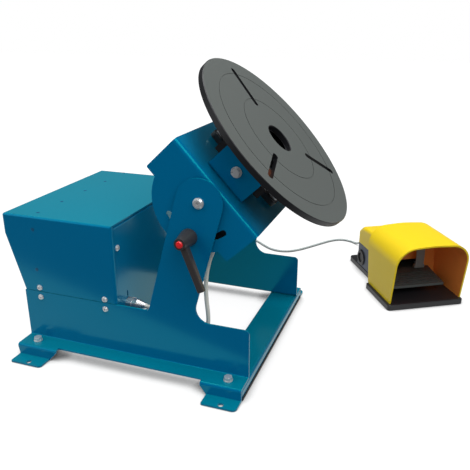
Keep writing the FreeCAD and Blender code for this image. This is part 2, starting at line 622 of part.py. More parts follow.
def gearbox_case():
    """Square gearbox below the motor plate, with a boss round its output shaft."""
    y = PINION_Y
    case = rounded(box(-38, 38, y - 38, y + 38, -38, 0), 5, lambda e: abs(e.CenterOfMass.z + 19) < 1)
    case = case.fuse(rod((0, y, 0), Z_AXIS, 15, 5))
    ribs = [box(-39.5, 39.5, y - 30, y + 30, z, z + 3) for z in (-12.0, -22.0, -32.0)]
    return join([case] + ribs).cut(rod((0, y, -22), Z_AXIS, 7.05, 40))


def drive_motor():
    """Round motor under the gearbox, with end bell and vent slots."""
    y = PINION_Y
    motor = turned([(0, -80), (24, -80), (28, -76), (30, -72), (30, -42), (27, -42), (27, -38), (0, -38)])
    slots = []
    for k in range(8):
        slot = box(24, 32, -3, 3, -70, -48)
        slot.rotate(Vector(0, 0, 0), Z_AXIS, 45 * k)
        slots.append(slot)
    motor = motor.cut(slots)
    motor.translate(Vector(0, y, 0))
    return motor


# ---- Earth contact on the head ----


def brush_bracket():
    """Folded U on the web that grips the brush block."""
    inner, outer, top = -90.0, -130.0, 84.0
    path = [(inner, top), (inner, WEB_Z), (outer, WEB_Z), (outer, top)]
    bracket = folded(path[::-1], "yz", -39, 80)
    return bracket.cut(rod((1, -135, BRACKET_BOLT_Z), Y_AXIS, 4.1, 60))


def brush_block():
    """Insulating block with two brush wells; its ends stand past the bracket."""
    core = box(-39, 41, -127, -93, WEB_Z + SHEET + BEND, BRUSH_PLATE_Z)
    ends = box(-50, 52, -124, -96, 62, BRUSH_PLATE_Z)
    block = join([core, ends])
    wells = [box(x - BRUSH_SIZE[0] / 2 - 0.1, x + BRUSH_SIZE[0] / 2 + 0.1,
                 BRUSH_Y - BRUSH_SIZE[1] / 2 - 0.1, BRUSH_Y + BRUSH_SIZE[1] / 2 + 0.1, 48, 90)
             for x in (-BRUSH_X, BRUSH_X)]
    return block.cut(wells + [rod((1, -135, BRACKET_BOLT_Z), Y_AXIS, 4.1, 60)])


def brush_plate():
    """Bright guide plate screwed to the block round the brushes."""
    plate = prism([(-50, -121, 2), (52, -121, 2), (52, -98, 2), (-50, -98, 2)], "xy", BRUSH_PLATE_Z, 3)
    wells = [box(x - BRUSH_SIZE[0] / 2 - 0.1, x + BRUSH_SIZE[0] / 2 + 0.1,
                 BRUSH_Y - BRUSH_SIZE[1] / 2 - 0.1, BRUSH_Y + BRUSH_SIZE[1] / 2 + 0.1, 70, 90)
             for x in (-BRUSH_X, BRUSH_X)]
    screw = button_screw(5, 0.5)
    screws = [stand(screw, Z_AXIS, (x, -110, BRUSH_PLATE_Z + 3)) for x in (-12.0, 14.0)]
    return plate.cut(wells).fuse(screws)


def bracket_bolt():
    """Through bolt of the brush bracket, with its nut."""
    bolt = stand(hex_bolt(8, 48, 9), -Y_AXIS, (1, -130, BRACKET_BOLT_Z))
    nut = stand(hex_nut(8), -Y_AXIS, (1, -90, BRACKET_BOLT_Z))
    return join([bolt, nut])


def earth_brushes():
    """Two copper brushes that press on the underside of the turntable."""
    brushes = []
    for x in (-BRUSH_X, BRUSH_X):
        brush = box(x - BRUSH_SIZE[0] / 2, x + BRUSH_SIZE[0] / 2, BRUSH_Y - BRUSH_SIZE[1] / 2,
                    BRUSH_Y + BRUSH_SIZE[1] / 2, 62, TABLE_Z - TABLE_T - 0.1)
        brushes.append(brush)
    return compound(brushes)


def brush_springs():
    """Coil springs behind the brushes, drawn as sleeves."""
    return compound([tube((x, BRUSH_Y, 48), Z_AXIS, 4.5, 3.3, 14) for x in (-BRUSH_X, BRUSH_X)])


def terminal_box():
    """Terminal box bonded under the web, with the hose's gland and a tongue that shields the hose."""
    x, y, low = BOX_ENTRY
    high = WEB_Z - SHEET
    case = rounded(box(46, 84, -145, -104, low, high), 3, lambda e: abs(e.CenterOfMass.z - low) < 0.1)
    case = case.cut(box(49, 81, -140, -107, low + 3, high - 3))
    tongue = rounded(box(48, 76, -145, -142, -38, low + 8), 6,
                     lambda e: e.CenterOfMass.z < -37 and abs(e.CenterOfMass.y + 143.5) < 0.1)
    entry = stand(gland(16, 8.6, BOX_GLAND, HOSE_D / 2, 8, SHEET), -Z_AXIS, BOX_ENTRY)
    return join([case.cut(rod((x, y, low - 1), Z_AXIS, 8, 5)), tongue, entry])


# ---- Turntable and drive, drawn flat ----
def rotary_table():
    """Slotted faceplate with a bore and two marking grooves."""
    low, high = TABLE_Z - TABLE_T, TABLE_Z
    chamfer = 1.0
    disc = turned([(TABLE_BORE_R, low), (TABLE_R, low), (TABLE_R, high - chamfer),
                   (TABLE_R - chamfer, high), (TABLE_BORE_R + chamfer, high),
                   (TABLE_BORE_R, high - chamfer)])
    cuts = [tube((0, 0, high - 0.6), Z_AXIS, r + 0.6, r - 0.6, 2) for r in GROOVES]
    half = TABLE_SLOT_W / 2
    for angle in TABLE_SLOTS:
        slot = box(SLOT_IN + half, SLOT_OUT - half, -half, half, low - 1, high + 1)
        ends = [rod((r, 0, low - 1), Z_AXIS, half, TABLE_T + 2) for r in (SLOT_IN + half, SLOT_OUT - half)]
        slot = join([slot] + ends)
        slot.rotate(Vector(0, 0, 0), Z_AXIS, angle)
        cuts.append(slot)
    cuts += [rod((x, y, low - 1), Z_AXIS, 3.0, TABLE_T - 1) for x, y in table_screw_places()]
    return disc.cut(cuts)


def table_screw_places():
    """Centres of the screws between spindle flange and turntable."""
    return [(47 * cos(radians(60 * k + 15)), 47 * sin(radians(60 * k + 15))) for k in range(6)]


def spindle():
    """Hollow spindle with a shoulder and a flange for the turntable."""
    top = TABLE_Z - TABLE_T
    shoulder = WEB_Z + 41
    body = turned([(SPINDLE_BORE_R, 3), (SPINDLE_R - 1, 3), (SPINDLE_R, 4), (SPINDLE_R, shoulder),
                   (SPINDLE_R + 4, shoulder), (SPINDLE_R + 4, top - 12), (55, top - 12), (55, top),
                   (SPINDLE_BORE_R, top)])
    cuts = [rod((x, y, top - 13), Z_AXIS, 3.1, 20) for x, y in table_screw_places()]
    cuts.append(tube((0, 0, GEAR_Z - 3), Z_AXIS, SPINDLE_R + 1, SPINDLE_R - 1.5, 2.2))
    return body.cut(cuts)


def table_screws():
    """Six screws up through the spindle flange."""
    screw = button_screw(6, 20)
    seat = TABLE_Z - TABLE_T - 12
    return compound([stand(screw, -Z_AXIS, (x, y, seat)) for x, y in table_screw_places()])


def retaining_ring():
    """Snap ring under the gear hub."""
    ring = tube((0, 0, GEAR_Z - 3), Z_AXIS, SPINDLE_R + 3.5, SPINDLE_R - 1.5, 2.2)
    return ring.cut(box(-4, 4, -40, -20, 0, 20))


def gear_wheel(teeth, bore_r, offset, backlash):
    """Spur gear with involute flanks, face from z = 0 to GEAR_T."""
    pitch_r = GEAR_MODULE * teeth / 2
    base_r = pitch_r * cos(radians(20))
    tip_r = pitch_r + GEAR_MODULE
    root_r = pitch_r - 1.25 * GEAR_MODULE
    pressure_inv = tan(radians(20)) - radians(20)
    half_tooth = pi / (2 * teeth) - backlash / (2 * pitch_r)
    start_r = max(base_r, root_r + 0.2)
    points = []
    for k in range(teeth):
        centre = 2 * pi * k / teeth + offset
        flank = []
        for step in range(4):
            r = start_r + (tip_r - start_r) * step / 3
            lean = acos(min(1.0, base_r / r))
            flank.append((r, half_tooth + pressure_inv - (tan(lean) - lean)))
        root_half = flank[0][1] + 0.2 / pitch_r
        tooth = [(root_r, -root_half)] + [(r, -a) for r, a in flank]
        tooth += [(r, a) for r, a in reversed(flank)] + [(root_r, root_half)]
        points += [Vector(r * cos(centre + a), r * sin(centre + a), 0) for r, a in tooth]
    face = Part.Face(Part.makePolygon(points + points[:1]))
    return face.extrude(Vector(0, 0, GEAR_T)).cut(rod((0, 0, -1), Z_AXIS, bore_r, GEAR_T + 2))


def table_gear():
    """Large gear on the spindle, with a recessed web, holes and a hub up to the bearing."""
    gear = gear_wheel(GEAR_TEETH, SPINDLE_R, 0.0, 0.15)
    recess = tube((0, 0, 4), Z_AXIS, 58, 38, GEAR_T)
    holes = []
    for k in range(6):
        angle = radians(60 * k)
        holes.append(rod((48 * cos(angle), 48 * sin(angle), -1), Z_AXIS, 7, 8))
    gear = gear.cut([recess] + holes)
    gear.translate(Vector(0, 0, GEAR_Z))
    hub = tube((0, 0, GEAR_Z - 0.8), Z_AXIS, SPINDLE_R + 4, SPINDLE_R, WEB_Z - GEAR_Z + 0.8)
    return join([gear, hub])


def pinion():
    """Small driving gear on the gearbox's output shaft."""
    gear = gear_wheel(PINION_TEETH, 4.0, radians(10), 0.15)
    gear.translate(Vector(0, 0, GEAR_Z))
    shaft = turned([(0, -21), (7, -21), (7, GEAR_Z + GEAR_T + 3), (6, GEAR_Z + GEAR_T + 4),
                    (0, GEAR_Z + GEAR_T + 4)])
    whole = gear.fuse(shaft).removeSplitter()
    whole.translate(Vector(0, PINION_Y, 0))
    return whole


# ---- Clamp lever ----
def clamp_lever():
    """Ratchet lever: a tapering hub and a straight flat-sided arm."""
    x, z = stud_place()
    face = -SIDE_Y - 0.1
    hub = turned([(5.05, 0), (14.2, 0), (14.5, 3), (14.0, 8), (10.2, 32), (9.4, 35), (9.4, 37), (5.05, 37)])
    hub = stand(hub, -Y_AXIS, (x, face, z))
    start, end = Vector(x + 2, -190.5, z - 5), Vector(x + 32.5, -195.5, z - 77)
    arm = Part.makeLoft([arm_section(start, end, start, 12.6, 11.6),
                         arm_section(start, end, end, 10.6, 10.4)], True, True)
    bore = rod((x, face - 38, z), Y_AXIS, 6.0, 9.3)
    core = rod((x, face - 32, z), Y_AXIS, 5.05, 32)
    return join([hub, arm]).cut([bore, core])


def arm_section(start, end, at, wide, deep):
    """Chamfered rectangle across the lever's arm, centred on a point of its line."""
    along = (end - start).normalize()
    out = Vector(0, -1, 0)
    out = (out - along * along.dot(out)).normalize()
    side = along.cross(out)
    w, d, c = wide / 2, deep / 2, 1.3
    ring = [(w, d - c), (w - c, d), (c - w, d), (-w, d - c), (-w, c - d), (c - w, -d), (w - c, -d), (w, c - d)]
    points = [at + side * u + out * v for u, v in ring]
    return Part.makePolygon(points + points[:1])


def lever_button():
    """Release button in the lever's hub."""
    x, z = stud_place()
    button = turned([(0, 0), (5.9, 0), (5.9, 5.5), (4.6, 7.4), (0, 8.0)])
    return stand(button, -Y_AXIS, (x, -SIDE_Y - 0.1 - 32, z))


# ---- Controls on the rear of the housing ----
def rear_slope():
    """A point on the sloping back of the cover and its outward direction."""
    run = Vector(COVER_REAR_X - REAR_X, 0, COVER_KNEE_Z - SEAM_Z)
    middle = Vector(REAR_X, 0, SEAM_Z) + run * 0.5
    outward = Vector(-run.z, 0, run.x).normalize()
    return middle, outward


def rear_knob(y, radius, height, pointer):
    """Fluted control knob with a pointer line, sitting on the sloping back."""
    knob = turned([(0, 0.15), (radius, 0.15), (radius, 2.5), (radius * 0.86, 3.5),
                   (radius * 0.8, height - 1), (radius * 0.74, height), (0, height)])
    flutes = []
    for k in range(12):
        angle = radians(30 * k + 15)
        at = (radius * 0.93 * cos(angle), radius * 0.93 * sin(angle), 3.5)
        flutes.append(rod(at, Z_AXIS, radius * 0.13, height))
    line = box(radius * 0.3, radius * 0.8, -pointer, pointer, height - 0.8, height + 1)
    knob = knob.cut(flutes + [line]).fuse(rod((0, 0, -7), Z_AXIS, KNOB_SHAFT_R, 8))
    middle, outward = rear_slope()
    return stand(knob, outward, (middle.x, y, middle.z))


def speed_knob():
    """Turning-speed control."""
    return rear_knob(KNOB_Y[0], 15.0, 15.0, 0.8)


def direction_knob():
    """Left, off and right selector."""
    return rear_knob(KNOB_Y[1], 11.0, 12.0, 1.2)


def mains_switch():
    """Rocker of the mains switch, about the line where it tips."""
    x, z = REAR_X, 72.0
    profile = [(x - 4.5, z - 10, 0), (x - 1.5, z, 0), (x - 4.5, z + 10, 0), (x + 3, z + 10, 0),
               (x + 7, z + 4, 0), (x + 7, z - 4, 0), (x + 3, z - 10, 0)]
    return prism(profile, "xz", -14.5, 14.1)


# ---- Foot pedal, in its own frame ----
def pedal_base():
    """Moulded base plate, wide under the hood and narrow under the switch body."""
    front, step, rear = PEDAL_V
    u0, u1 = BODY_U[0] - 1, BODY_U[1] + 1
    corners = [(0, front, 6), (PEDAL_W, front, 6), (PEDAL_W, step, 4), (u1, step, 0), (u1, rear, 8),
               (u0, rear, 8), (u0, step, 0), (0, step, 4)]
    base = prism(corners, "xy", 0, PEDAL_BASE_T)
    return base.makeChamfer(1.5, [e for e in base.Edges if e.CenterOfMass.z > PEDAL_BASE_T - 0.1])


def hood_section(v_low, v_high, grow, bottom):
    """Arch-shaped wire of the hood, leaning from v_low at the base to v_high at the top."""
    u0, u1 = HOOD_U[0] - grow, HOOD_U[1] + grow
    top = HOOD_TOP + grow
    corners = [(u0 - 3, bottom, 0), (u1 + 3, bottom, 0), (u1 + 3, top, 44 + grow),
               ((u0 + u1) / 2, top + HOOD_CROWN, 300 + grow), (u0 - 3, top, 44 + grow)]
    flat = outline(corners, "xz").OuterWire
    lean = (v_high - v_low) / (HOOD_TOP - PEDAL_BASE_T)
    shear = FreeCAD.Matrix(1, 0, 0, 0, 0, 1, lean, v_low - lean * PEDAL_BASE_T, 0, 0, 1, 0, 0, 0, 0, 1)
    return flat.transformGeometry(shear)


def hood_block():
    """The hood's outer form, solid."""
    (front_low, front_high), (rear_low, rear_high) = HOOD_V
    return Part.makeLoft([hood_section(front_low, front_high, 0, PEDAL_BASE_T),
                          hood_section(rear_low, rear_high, 0, PEDAL_BASE_T)], True, True)


def pedal_hood():
    """Guard over the treadle: an open arch in front, closed behind but for the treadle's window.

    Two ears under its roof carry the toe latch.
    """
    (front_low, front_high), (rear_low, rear_high) = HOOD_V
    low = PEDAL_BASE_T
    inner = Part.makeLoft([hood_section(front_low - 20, front_high - 20, -HOOD_WALL, low - 5),
                           hood_section(rear_low - HOOD_WALL, rear_high - HOOD_WALL, -HOOD_WALL, low - 5)],
                          True, True)
    window = box(BODY_U[0] + 8, BODY_U[1] - 8, rear_low - 12, rear_high + 5, low - 1, 60)
    v, z = LATCH_PIN
    block = hood_block()
    ears = [box(u, u + 3, v - 6, v + 14, z - 6, HOOD_TOP + HOOD_CROWN).common(block) for u in LATCH_EARS]
    shell = block.cut([inner, window])
    return join([shell] + ears).cut(rod((60, v, z), X_AXIS, 2.0, 80))


def pedal_body():
    """Switch body behind the hood: a box open at the front for the treadle's tail."""
    (u0, u1), (v0, v1) = BODY_U, BODY_V
    low = PEDAL_BASE_T
    body = rounded(box(u0, u1, v0, v1, low, BODY_TOP), 5,
                   lambda e: e.CenterOfMass.y > v1 - 1 and abs(e.CenterOfMass.z - 40) < 1)
    cavity = box(u0 + 5, u1 - 5, v0 - 1, v1 - 6, low - 1, BODY_TOP - 5)
    plug_hole = [rod((u0 - 1, *PLUG_AT), X_AXIS, 10.2, 10)]
    hinge = [rod((u0 - 1, TREADLE_PIN[0], TREADLE_PIN[1]), X_AXIS, 3.0, u1 - u0 + 2)]
    cable = [rod(((u0 + u1) / 2, v1 - 10, CABLE_EXIT_Z), Y_AXIS, 6.1, 20)]
    return body.cut([cavity] + plug_hole + hinge + cable + [hood_block()])


def pedal_cap():
    """Yellow cap on the switch body, sloping down to the rear."""
    (u0, u1), (v0, v1) = BODY_U, BODY_V
    profile = [(v0, BODY_TOP, 0), (v1 + 1, BODY_TOP, 0), (v1 + 1, 97, 8), (v1 - 18, 112, 20),
               (v0, 120, 0)]
    cap = prism(profile, "yz", u0 - 1, u1 - u0 + 2)
    cap = rounded(cap, 9, lambda e: e.CenterOfMass.z > 85 and min(abs(e.CenterOfMass.x - u0 + 1),
                                                                  abs(e.CenterOfMass.x - u1 - 1)) < 0.5)
    return cap.cut(hood_block())


def pedal_plug():
    """Knockout plug on the side of the switch body."""
    u0 = BODY_U[0]
    plug = turned([(0, -7), (10, -7), (10, 0), (19.5, 0), (19.5, 2), (17.5, 3.5), (12, 3.5), (12, 1),
                   (0, 1)])
    return stand(plug, -X_AXIS, (u0, *PLUG_AT))


def pedal_gland():
    """Gland at the rear of the switch body."""
    u = (BODY_U[0] + BODY_U[1]) / 2
    return stand(gland(17, 8.5, 22, CABLE_D / 2, 6, 6), Y_AXIS, (u, BODY_V[1], CABLE_EXIT_Z))


def pedal_pins():
    """Steel pins of the treadle, across the switch body, and of the toe latch, across its ears."""
    v, z = TREADLE_PIN
    treadle = rod((BODY_U[0], v, z), X_AXIS, 3.0, BODY_U[1] - BODY_U[0])
    v, z = LATCH_PIN
    latch = rod((LATCH_EARS[0], v, z), X_AXIS, 2.0, LATCH_EARS[1] + SHEET - LATCH_EARS[0])
    return compound([treadle, latch])


def pedal_treadle():
    """Treadle plate under the hood, with a tail into the switch body and a ribbed face."""
    v, z = TREADLE_PIN
    front_v, rear_v, front_z, rear_z, thick = 37.0, 111.0, 35.0, 44.8, 5.4
    slope = (rear_z - front_z) / (rear_v - front_v)
    tail = prism([(front_v + 1, front_z - thick, 1), (rear_v, rear_z - thick, 0), (v + 8, z - 7, 3),
                  (v + 8, z + 6, 3), (rear_v + 6, z + 6, 0), (rear_v, rear_z, 0),
                  (front_v + 1, front_z, 1)], "yz", 45, 85)
    tread = prism([(front_v, front_z - thick, 0), (rear_v, rear_z - thick, 0), (rear_v, rear_z, 0),
                   (front_v, front_z, 1.5)], "yz", 26, 123)
    ribs = []
    for k in range(7):
        rib_v = front_v + 7 + 7.0 * k
        rib_z = front_z + slope * (rib_v - front_v)
        ribs.append(box(34, 141, rib_v, rib_v + 3, rib_z - 2, rib_z + 1.4))
    boss = rod((45, v, z), X_AXIS, 7, 85)
    whole = join([tail, tread, boss] + ribs)
    return whole.cut(rod((40, v, z), X_AXIS, 3.05, 100))


def toe_latch():
    """Hanging flap at the rear of the hood that the toe pushes back to free the treadle."""
    v, z = LATCH_PIN
    start = LATCH_EARS[0] + SHEET + 0.3
    length = LATCH_EARS[1] - 0.3 - start
    barrel = rod((start, v, z), X_AXIS, 4, length)
    middle = start + length / 2
    flap = box(middle - 10, middle + 10, v - 2, v + 1, z - 44, z)
    foot = box(middle - 12, middle + 12, v - 2, v + 6, z - 52, z - 44)
    return join([barrel, flap, foot]).cut(rod((start - 1, v, z), X_AXIS, 2.05, length + 2))


# ---- Flexible parts ----
def cord_path(points):
    """Wire of straight runs joined by tangent arcs; prints the tightest radius."""
    edges, here, tightest = [], Vector(*points[0]), 1e9
    for a, b, c in zip(points, points[1:], points[2:]):
        corner = Vector(*b)
        back, ahead = Vector(*a) - corner, Vector(*c) - corner
        reach = 0.45 * min(back.Length, ahead.Length)
        back.normalize()
        ahead.normalize()
        half = acos(max(-1.0, min(1.0, back.dot(ahead)))) / 2
        radius = reach * tan(half)
        tightest = min(tightest, radius)
        start, end = corner + back * reach, corner + ahead * reach
        middle = corner + (back + ahead).normalize() * (radius / sin(half) - radius)
        edges.append(Part.LineSegment(here, start).toShape())
        edges.append(Part.Arc(start, middle, end).toShape())
        here = end
    edges.append(Part.LineSegment(here, Vector(*points[-1])).toShape())
    return Part.Wire(edges), tightest


def cord(name, points, diameter):
    """Round tube along a cord's route, with its length and tightest bend printed."""
    wire, tightest = cord_path(points)
    direction = Vector(*points[1]) - Vector(*points[0])
    ring = Part.Wire(Part.makeCircle(diameter / 2, Vector(*points[0]), direction))
    solid = wire.makePipeShell([ring], True, False, 2)
    expected = wire.Length * pi * diameter ** 2 / 4
    print(name, "length", round(wire.Length, 1), "tightest", round(tightest, 1),
          "volume ratio", round(solid.Volume / expected, 4))
    return solid


def hose_route():
    """Hose points from the terminal box's gland to the front-wall gland's mouth."""
    x, y, z = BOX_ENTRY
    mouth = in_head(Part.Vertex(x, y, z - BOX_GLAND)).Point
    return [(mouth.x, mouth.y, mouth.z)] + HOSE_ROUTE


def cable_route_a():
    """Pedal cable from the pedal gland's mouth to the coil."""
    mouth = in_pedal(Part.Vertex((BODY_U[0] + BODY_U[1]) / 2, BODY_V[1] + 22, CABLE_EXIT_Z)).Point
    return [(mouth.x, mouth.y, mouth.z)] + CABLE_ROUTE_A


def cable_coil():
    """Outer shape of the put-away coil of pedal cable."""
    outer, inner = COIL_MEAN_R + COIL_WIDE / 2, COIL_MEAN_R - COIL_WIDE / 2
    return tube((*COIL_AT, 0), Z_AXIS, outer, inner, COIL_HIGH)


# ---- All nodes ----
def build():
    """Every node of the model, by name."""
    near = side_frame()
    far = near.mirror(Vector(0, 0, 0), Y_AXIS)
    base = {
        "side_frame_near": near, "side_frame_far": far, "front_cross_member": cross_member(1),
        "rear_cross_member": cross_member(-1), "edge_strips": edge_strips(),
        "frame_bolts": frame_bolts(), "frame_nuts": frame_nuts(), "chassis_tray": chassis_tray(),
        "front_wall": front_wall(), "housing_cover": housing_cover(), "seam_straps": seam_straps(),
        "button_screws": button_screws(), "power_supply": power_supply(), "hose_gland": hose_gland(),
        "rear_gland": rear_gland(), "power_inlet": power_inlet(), "pivot_bolts": pivot_bolts(),
        "pivot_nuts": pivot_nuts(), "clamp_stud": clamp_stud(), "clamp_lever": clamp_lever(),
        "lever_button": lever_button(), "speed_knob": speed_knob(), "direction_knob": direction_knob(),
        "mains_switch": mains_switch()}
    head = {
        "head_channel": head_channel(), "pivot_bushes": pivot_bushes(),
        "bearing_housing": bearing_housing(), "housing_bolts": housing_bolts(),
        "bearing_outer_rings": bearing_outer_rings(), "bearing_inner_rings": bearing_inner_rings(),
        "motor_plate": motor_plate(), "motor_standoffs": motor_standoffs(),
        "gearbox_case": gearbox_case(), "drive_motor": drive_motor(), "brush_bracket": brush_bracket(),
        "brush_block": brush_block(), "brush_plate": brush_plate(), "bracket_bolt": bracket_bolt(),
        "earth_brushes": earth_brushes(), "brush_springs": brush_springs(), "terminal_box": terminal_box(),
        "rotary_table": rotary_table(), "spindle": spindle(), "table_screws": table_screws(),
        "retaining_ring": retaining_ring(), "table_gear": table_gear(), "pinion": pinion()}
    pedal = {
        "pedal_base": pedal_base(), "pedal_hood": pedal_hood(), "pedal_body": pedal_body(),
        "pedal_cap": pedal_cap(), "pedal_plug": pedal_plug(), "pedal_gland": pedal_gland(),
        "pedal_pins": pedal_pins(), "pedal_treadle": pedal_treadle(), "toe_latch": toe_latch()}
    cords = {
        "head_hose": cord("hose", hose_route(), HOSE_D),
        "pedal_cable_a": cord("cable a", cable_route_a(), CABLE_D), "cable_coil": cable_coil(),
        "pedal_cable_b": cord("cable b", CABLE_ROUTE_B, CABLE_D)}
    nodes = dict(base)
    nodes.update({name: in_head(shape) for name, shape in head.items()})
    nodes.update({name: in_pedal(shape) for name, shape in pedal.items()})
    nodes.update(cords)
    return nodes


def main():
    """Write one STEP file per node."""
    os.makedirs("parts", exist_ok=True)
    for name, shape in build().items():
        solids = shape.Solids
        valid = shape.isValid()
        print(f"{name:22s} solids {len(solids):2d} faces {len(shape.Faces):4d} valid {valid}")
        shape.exportStep(f"parts/{name}.step")


main()
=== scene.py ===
# %% [markdown]
# # Welding positioner
#
# A welding positioner holds a workpiece on a slotted turntable, tilts it and turns it, so
# that the welder can always weld downhand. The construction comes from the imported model:
# folded steel, castings, bearings and gears are there at their real size. This lesson adds
# what a camera sees: paint, turned metal, moulded plastic, and the two flexible leads.

# %% Load the frame
from math import cos, radians, sin

import bmesh
import bpy
from mathutils import Matrix, Vector


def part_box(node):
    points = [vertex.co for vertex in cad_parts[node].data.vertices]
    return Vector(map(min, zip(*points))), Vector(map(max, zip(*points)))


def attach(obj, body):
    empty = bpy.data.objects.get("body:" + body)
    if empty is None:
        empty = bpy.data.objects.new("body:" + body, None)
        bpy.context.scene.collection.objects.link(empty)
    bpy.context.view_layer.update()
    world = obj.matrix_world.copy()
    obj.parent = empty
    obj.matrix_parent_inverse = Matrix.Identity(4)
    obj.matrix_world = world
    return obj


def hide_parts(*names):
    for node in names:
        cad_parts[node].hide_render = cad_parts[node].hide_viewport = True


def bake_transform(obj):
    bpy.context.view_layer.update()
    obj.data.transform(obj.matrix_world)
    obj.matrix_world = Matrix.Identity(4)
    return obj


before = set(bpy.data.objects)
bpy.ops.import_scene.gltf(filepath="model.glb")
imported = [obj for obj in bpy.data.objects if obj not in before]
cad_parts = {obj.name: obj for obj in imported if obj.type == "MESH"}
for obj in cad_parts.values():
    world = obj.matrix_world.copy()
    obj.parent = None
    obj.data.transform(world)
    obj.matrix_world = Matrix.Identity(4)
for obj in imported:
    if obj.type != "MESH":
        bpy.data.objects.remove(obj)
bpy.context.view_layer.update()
MM = 0.001

# %% [markdown]
# ## Camera
#
# The camera stands about a metre in front of the near side plate, a little to the
# turntable's side, and looks down by some twenty degrees. It is made first, because the
# leads that lie on the floor are judged by what it sees.

# %% Camera
CAMERA_LENS, CAMERA_SENSOR = 44.25, 36.0
CAMERA_AT = (0.4688, -0.9453, 0.5847)
CAMERA_TILT, CAMERA_PAN = 69.48, 19.69
camera_data = bpy.data.cameras.new("camera")
camera_data.lens = CAMERA_LENS
camera_data.sensor_width = CAMERA_SENSOR
camera = bpy.data.objects.new("camera", camera_data)
camera.location = CAMERA_AT
camera.rotation_euler = (radians(CAMERA_TILT), 0.0, radians(CAMERA_PAN))
bpy.context.collection.objects.link(camera)
bpy.context.scene.camera = camera
print("camera", CAMERA_LENS, "mm lens at", CAMERA_AT)

# %% [markdown]
# ## Flexible leads
#
# A lead is one NURBS spline with a few control points: out of its gland, down under its
# own weight, and along the floor. An order of three keeps the line smooth and close to the
# points. Its skin is then made a mesh tube, whose bounds are its real ones. The pedal's
# lead is 2 m long, and what isn't needed lies behind the housing in a neat coil: it spirals
# inwards on the floor, climbs one thickness and spirals out again.


# %% Leads: helpers
def route_curve(name, points, diameter):
    """A round lead along control points in metres, as a curve object."""
    data = bpy.data.curves.new(name, "CURVE")
    data.dimensions = "3D"
    data.resolution_u = 8
    data.bevel_resolution = 4
    data.bevel_depth = diameter / 2
    data.use_fill_caps = True
    spline = data.splines.new("NURBS")
    spline.points.add(len(points) - 1)
    for point, place in zip(spline.points, points):
        point.co = (*place, 1.0)
    spline.order_u = 3
    spline.use_endpoint_u = True
    lead = bpy.data.objects.new(name, data)
    bpy.context.collection.objects.link(lead)
    return lead


def metres(points):
    """Millimetre points as tuples of metres."""
    return [tuple(c * MM for c in point) for point in points]


def centre_line(lead):
    """Points along a lead's own line."""
    bevel = lead.data.bevel_depth
    lead.data.bevel_depth = 0.0
    bpy.context.view_layer.update()
    line = bpy.data.meshes.new_from_object(
        lead.evaluated_get(bpy.context.evaluated_depsgraph_get()))
    points = [v.co.copy() for v in line.vertices]
    bpy.data.meshes.remove(line)
    lead.data.bevel_depth = bevel
    bpy.context.view_layer.update()
    return points


def as_tube(curve, name):
    """The curve's skin as a mesh object, and the line that it follows."""
    line = centre_line(curve)
    skin = bpy.data.meshes.new_from_object(
        curve.evaluated_get(bpy.context.evaluated_depsgraph_get()))
    tube = bpy.data.objects.new(name, skin)
    bpy.context.collection.objects.link(tube)
    bpy.data.objects.remove(curve)
    return tube, line


def run_length(line):
    """Length of a line of points, in metres."""
    return sum((b - a).length for a, b in zip(line, line[1:]))


# %% The lead from the housing to the head
HOSE_D = 7.5 * MM
hose_points = metres([(158.922, -124, 255.727), (146.5, -125, 244.1), (135, -129, 221),
                      (128, -130.5, 194), (124.5, -130.5, 164), (125.5, -130, 134),
                      (128.5, -129.5, 104), (126.7, -129, 85.7), (115.3, -128, 68.1),
                      (96.8, -127, 58.2), (75.8, -126.5, 58.2), (57.1, -126, 67.7),
                      (43.6, -126, 83.8), (32.3, -126, 95.1), (18.5, -126, 101), (6, -126, 101)])
hose, hose_line = as_tube(route_curve("hose_route", hose_points, HOSE_D), "lead_to_head")
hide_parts("head_hose")
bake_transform(hose)
print("lead to head", round(run_length(hose_line), 3), "m")

# %% The pedal's lead
CABLE_D = 5.0 * MM
FLOOR = 2.5
COIL_CENTRE, COIL_OUTER, COIL_INNER = (-80.0, 400.0), 34.0, 21.0
COIL_START, COIL_END, COIL_POINTS_PER_TURN = 20.0, -90.0 - 360 * 5, 14
COIL_LIFT = 5.0
to_coil = [(346.104, 469.201, 50), (336, 486, 52), (325, 505, 54), (313, 526, 39),
           (301, 547, 20), (286, 568, FLOOR), (264, 585, FLOOR), (238, 588, FLOOR),
           (215, 573, FLOOR),
           (192, 541, FLOOR), (168, 505, FLOOR), (143, 470, FLOOR), (115, 447, FLOOR),
           (80, 447, FLOOR), (50, 468, FLOOR), (17, 500, FLOOR), (-17, 512, FLOOR),
           (-43, 497, FLOOR), (-53, 467, FLOOR), (-51, 436, FLOOR)]
from_coil = [(-110, 368, 5), (-141, 361, FLOOR), (-174, 347, FLOOR), (-212, 333, FLOOR),
             (-250, 318, FLOOR), (-284, 290, FLOOR), (-306, 254, FLOOR), (-316, 216, FLOOR),
             (-317, 180, FLOOR), (-311, 150, 6), (-302, 128, 20), (-293, 113, 38),
             (-282, 104, 56), (-267, 100.5, 69), (-247, 100, 72)]


def coil_points():
    """Clockwise turns: inwards on the floor, up one thickness, and outwards on top."""
    steps = round((COIL_START - COIL_END) / 360 * COIL_POINTS_PER_TURN)
    points = []
    for k in range(1, steps + 1):
        share = k / steps
        angle = radians(COIL_START + (COIL_END - COIL_START) * share)
        fold = abs(2 * share - 1)
        radius = COIL_INNER + (COIL_OUTER - COIL_INNER) * fold
        lift = FLOOR + COIL_LIFT * min(1.0, max(0.0, (share - 0.45) / 0.1))
        points.append((COIL_CENTRE[0] + radius * cos(angle),
                       COIL_CENTRE[1] + radius * sin(angle), lift))
    return points


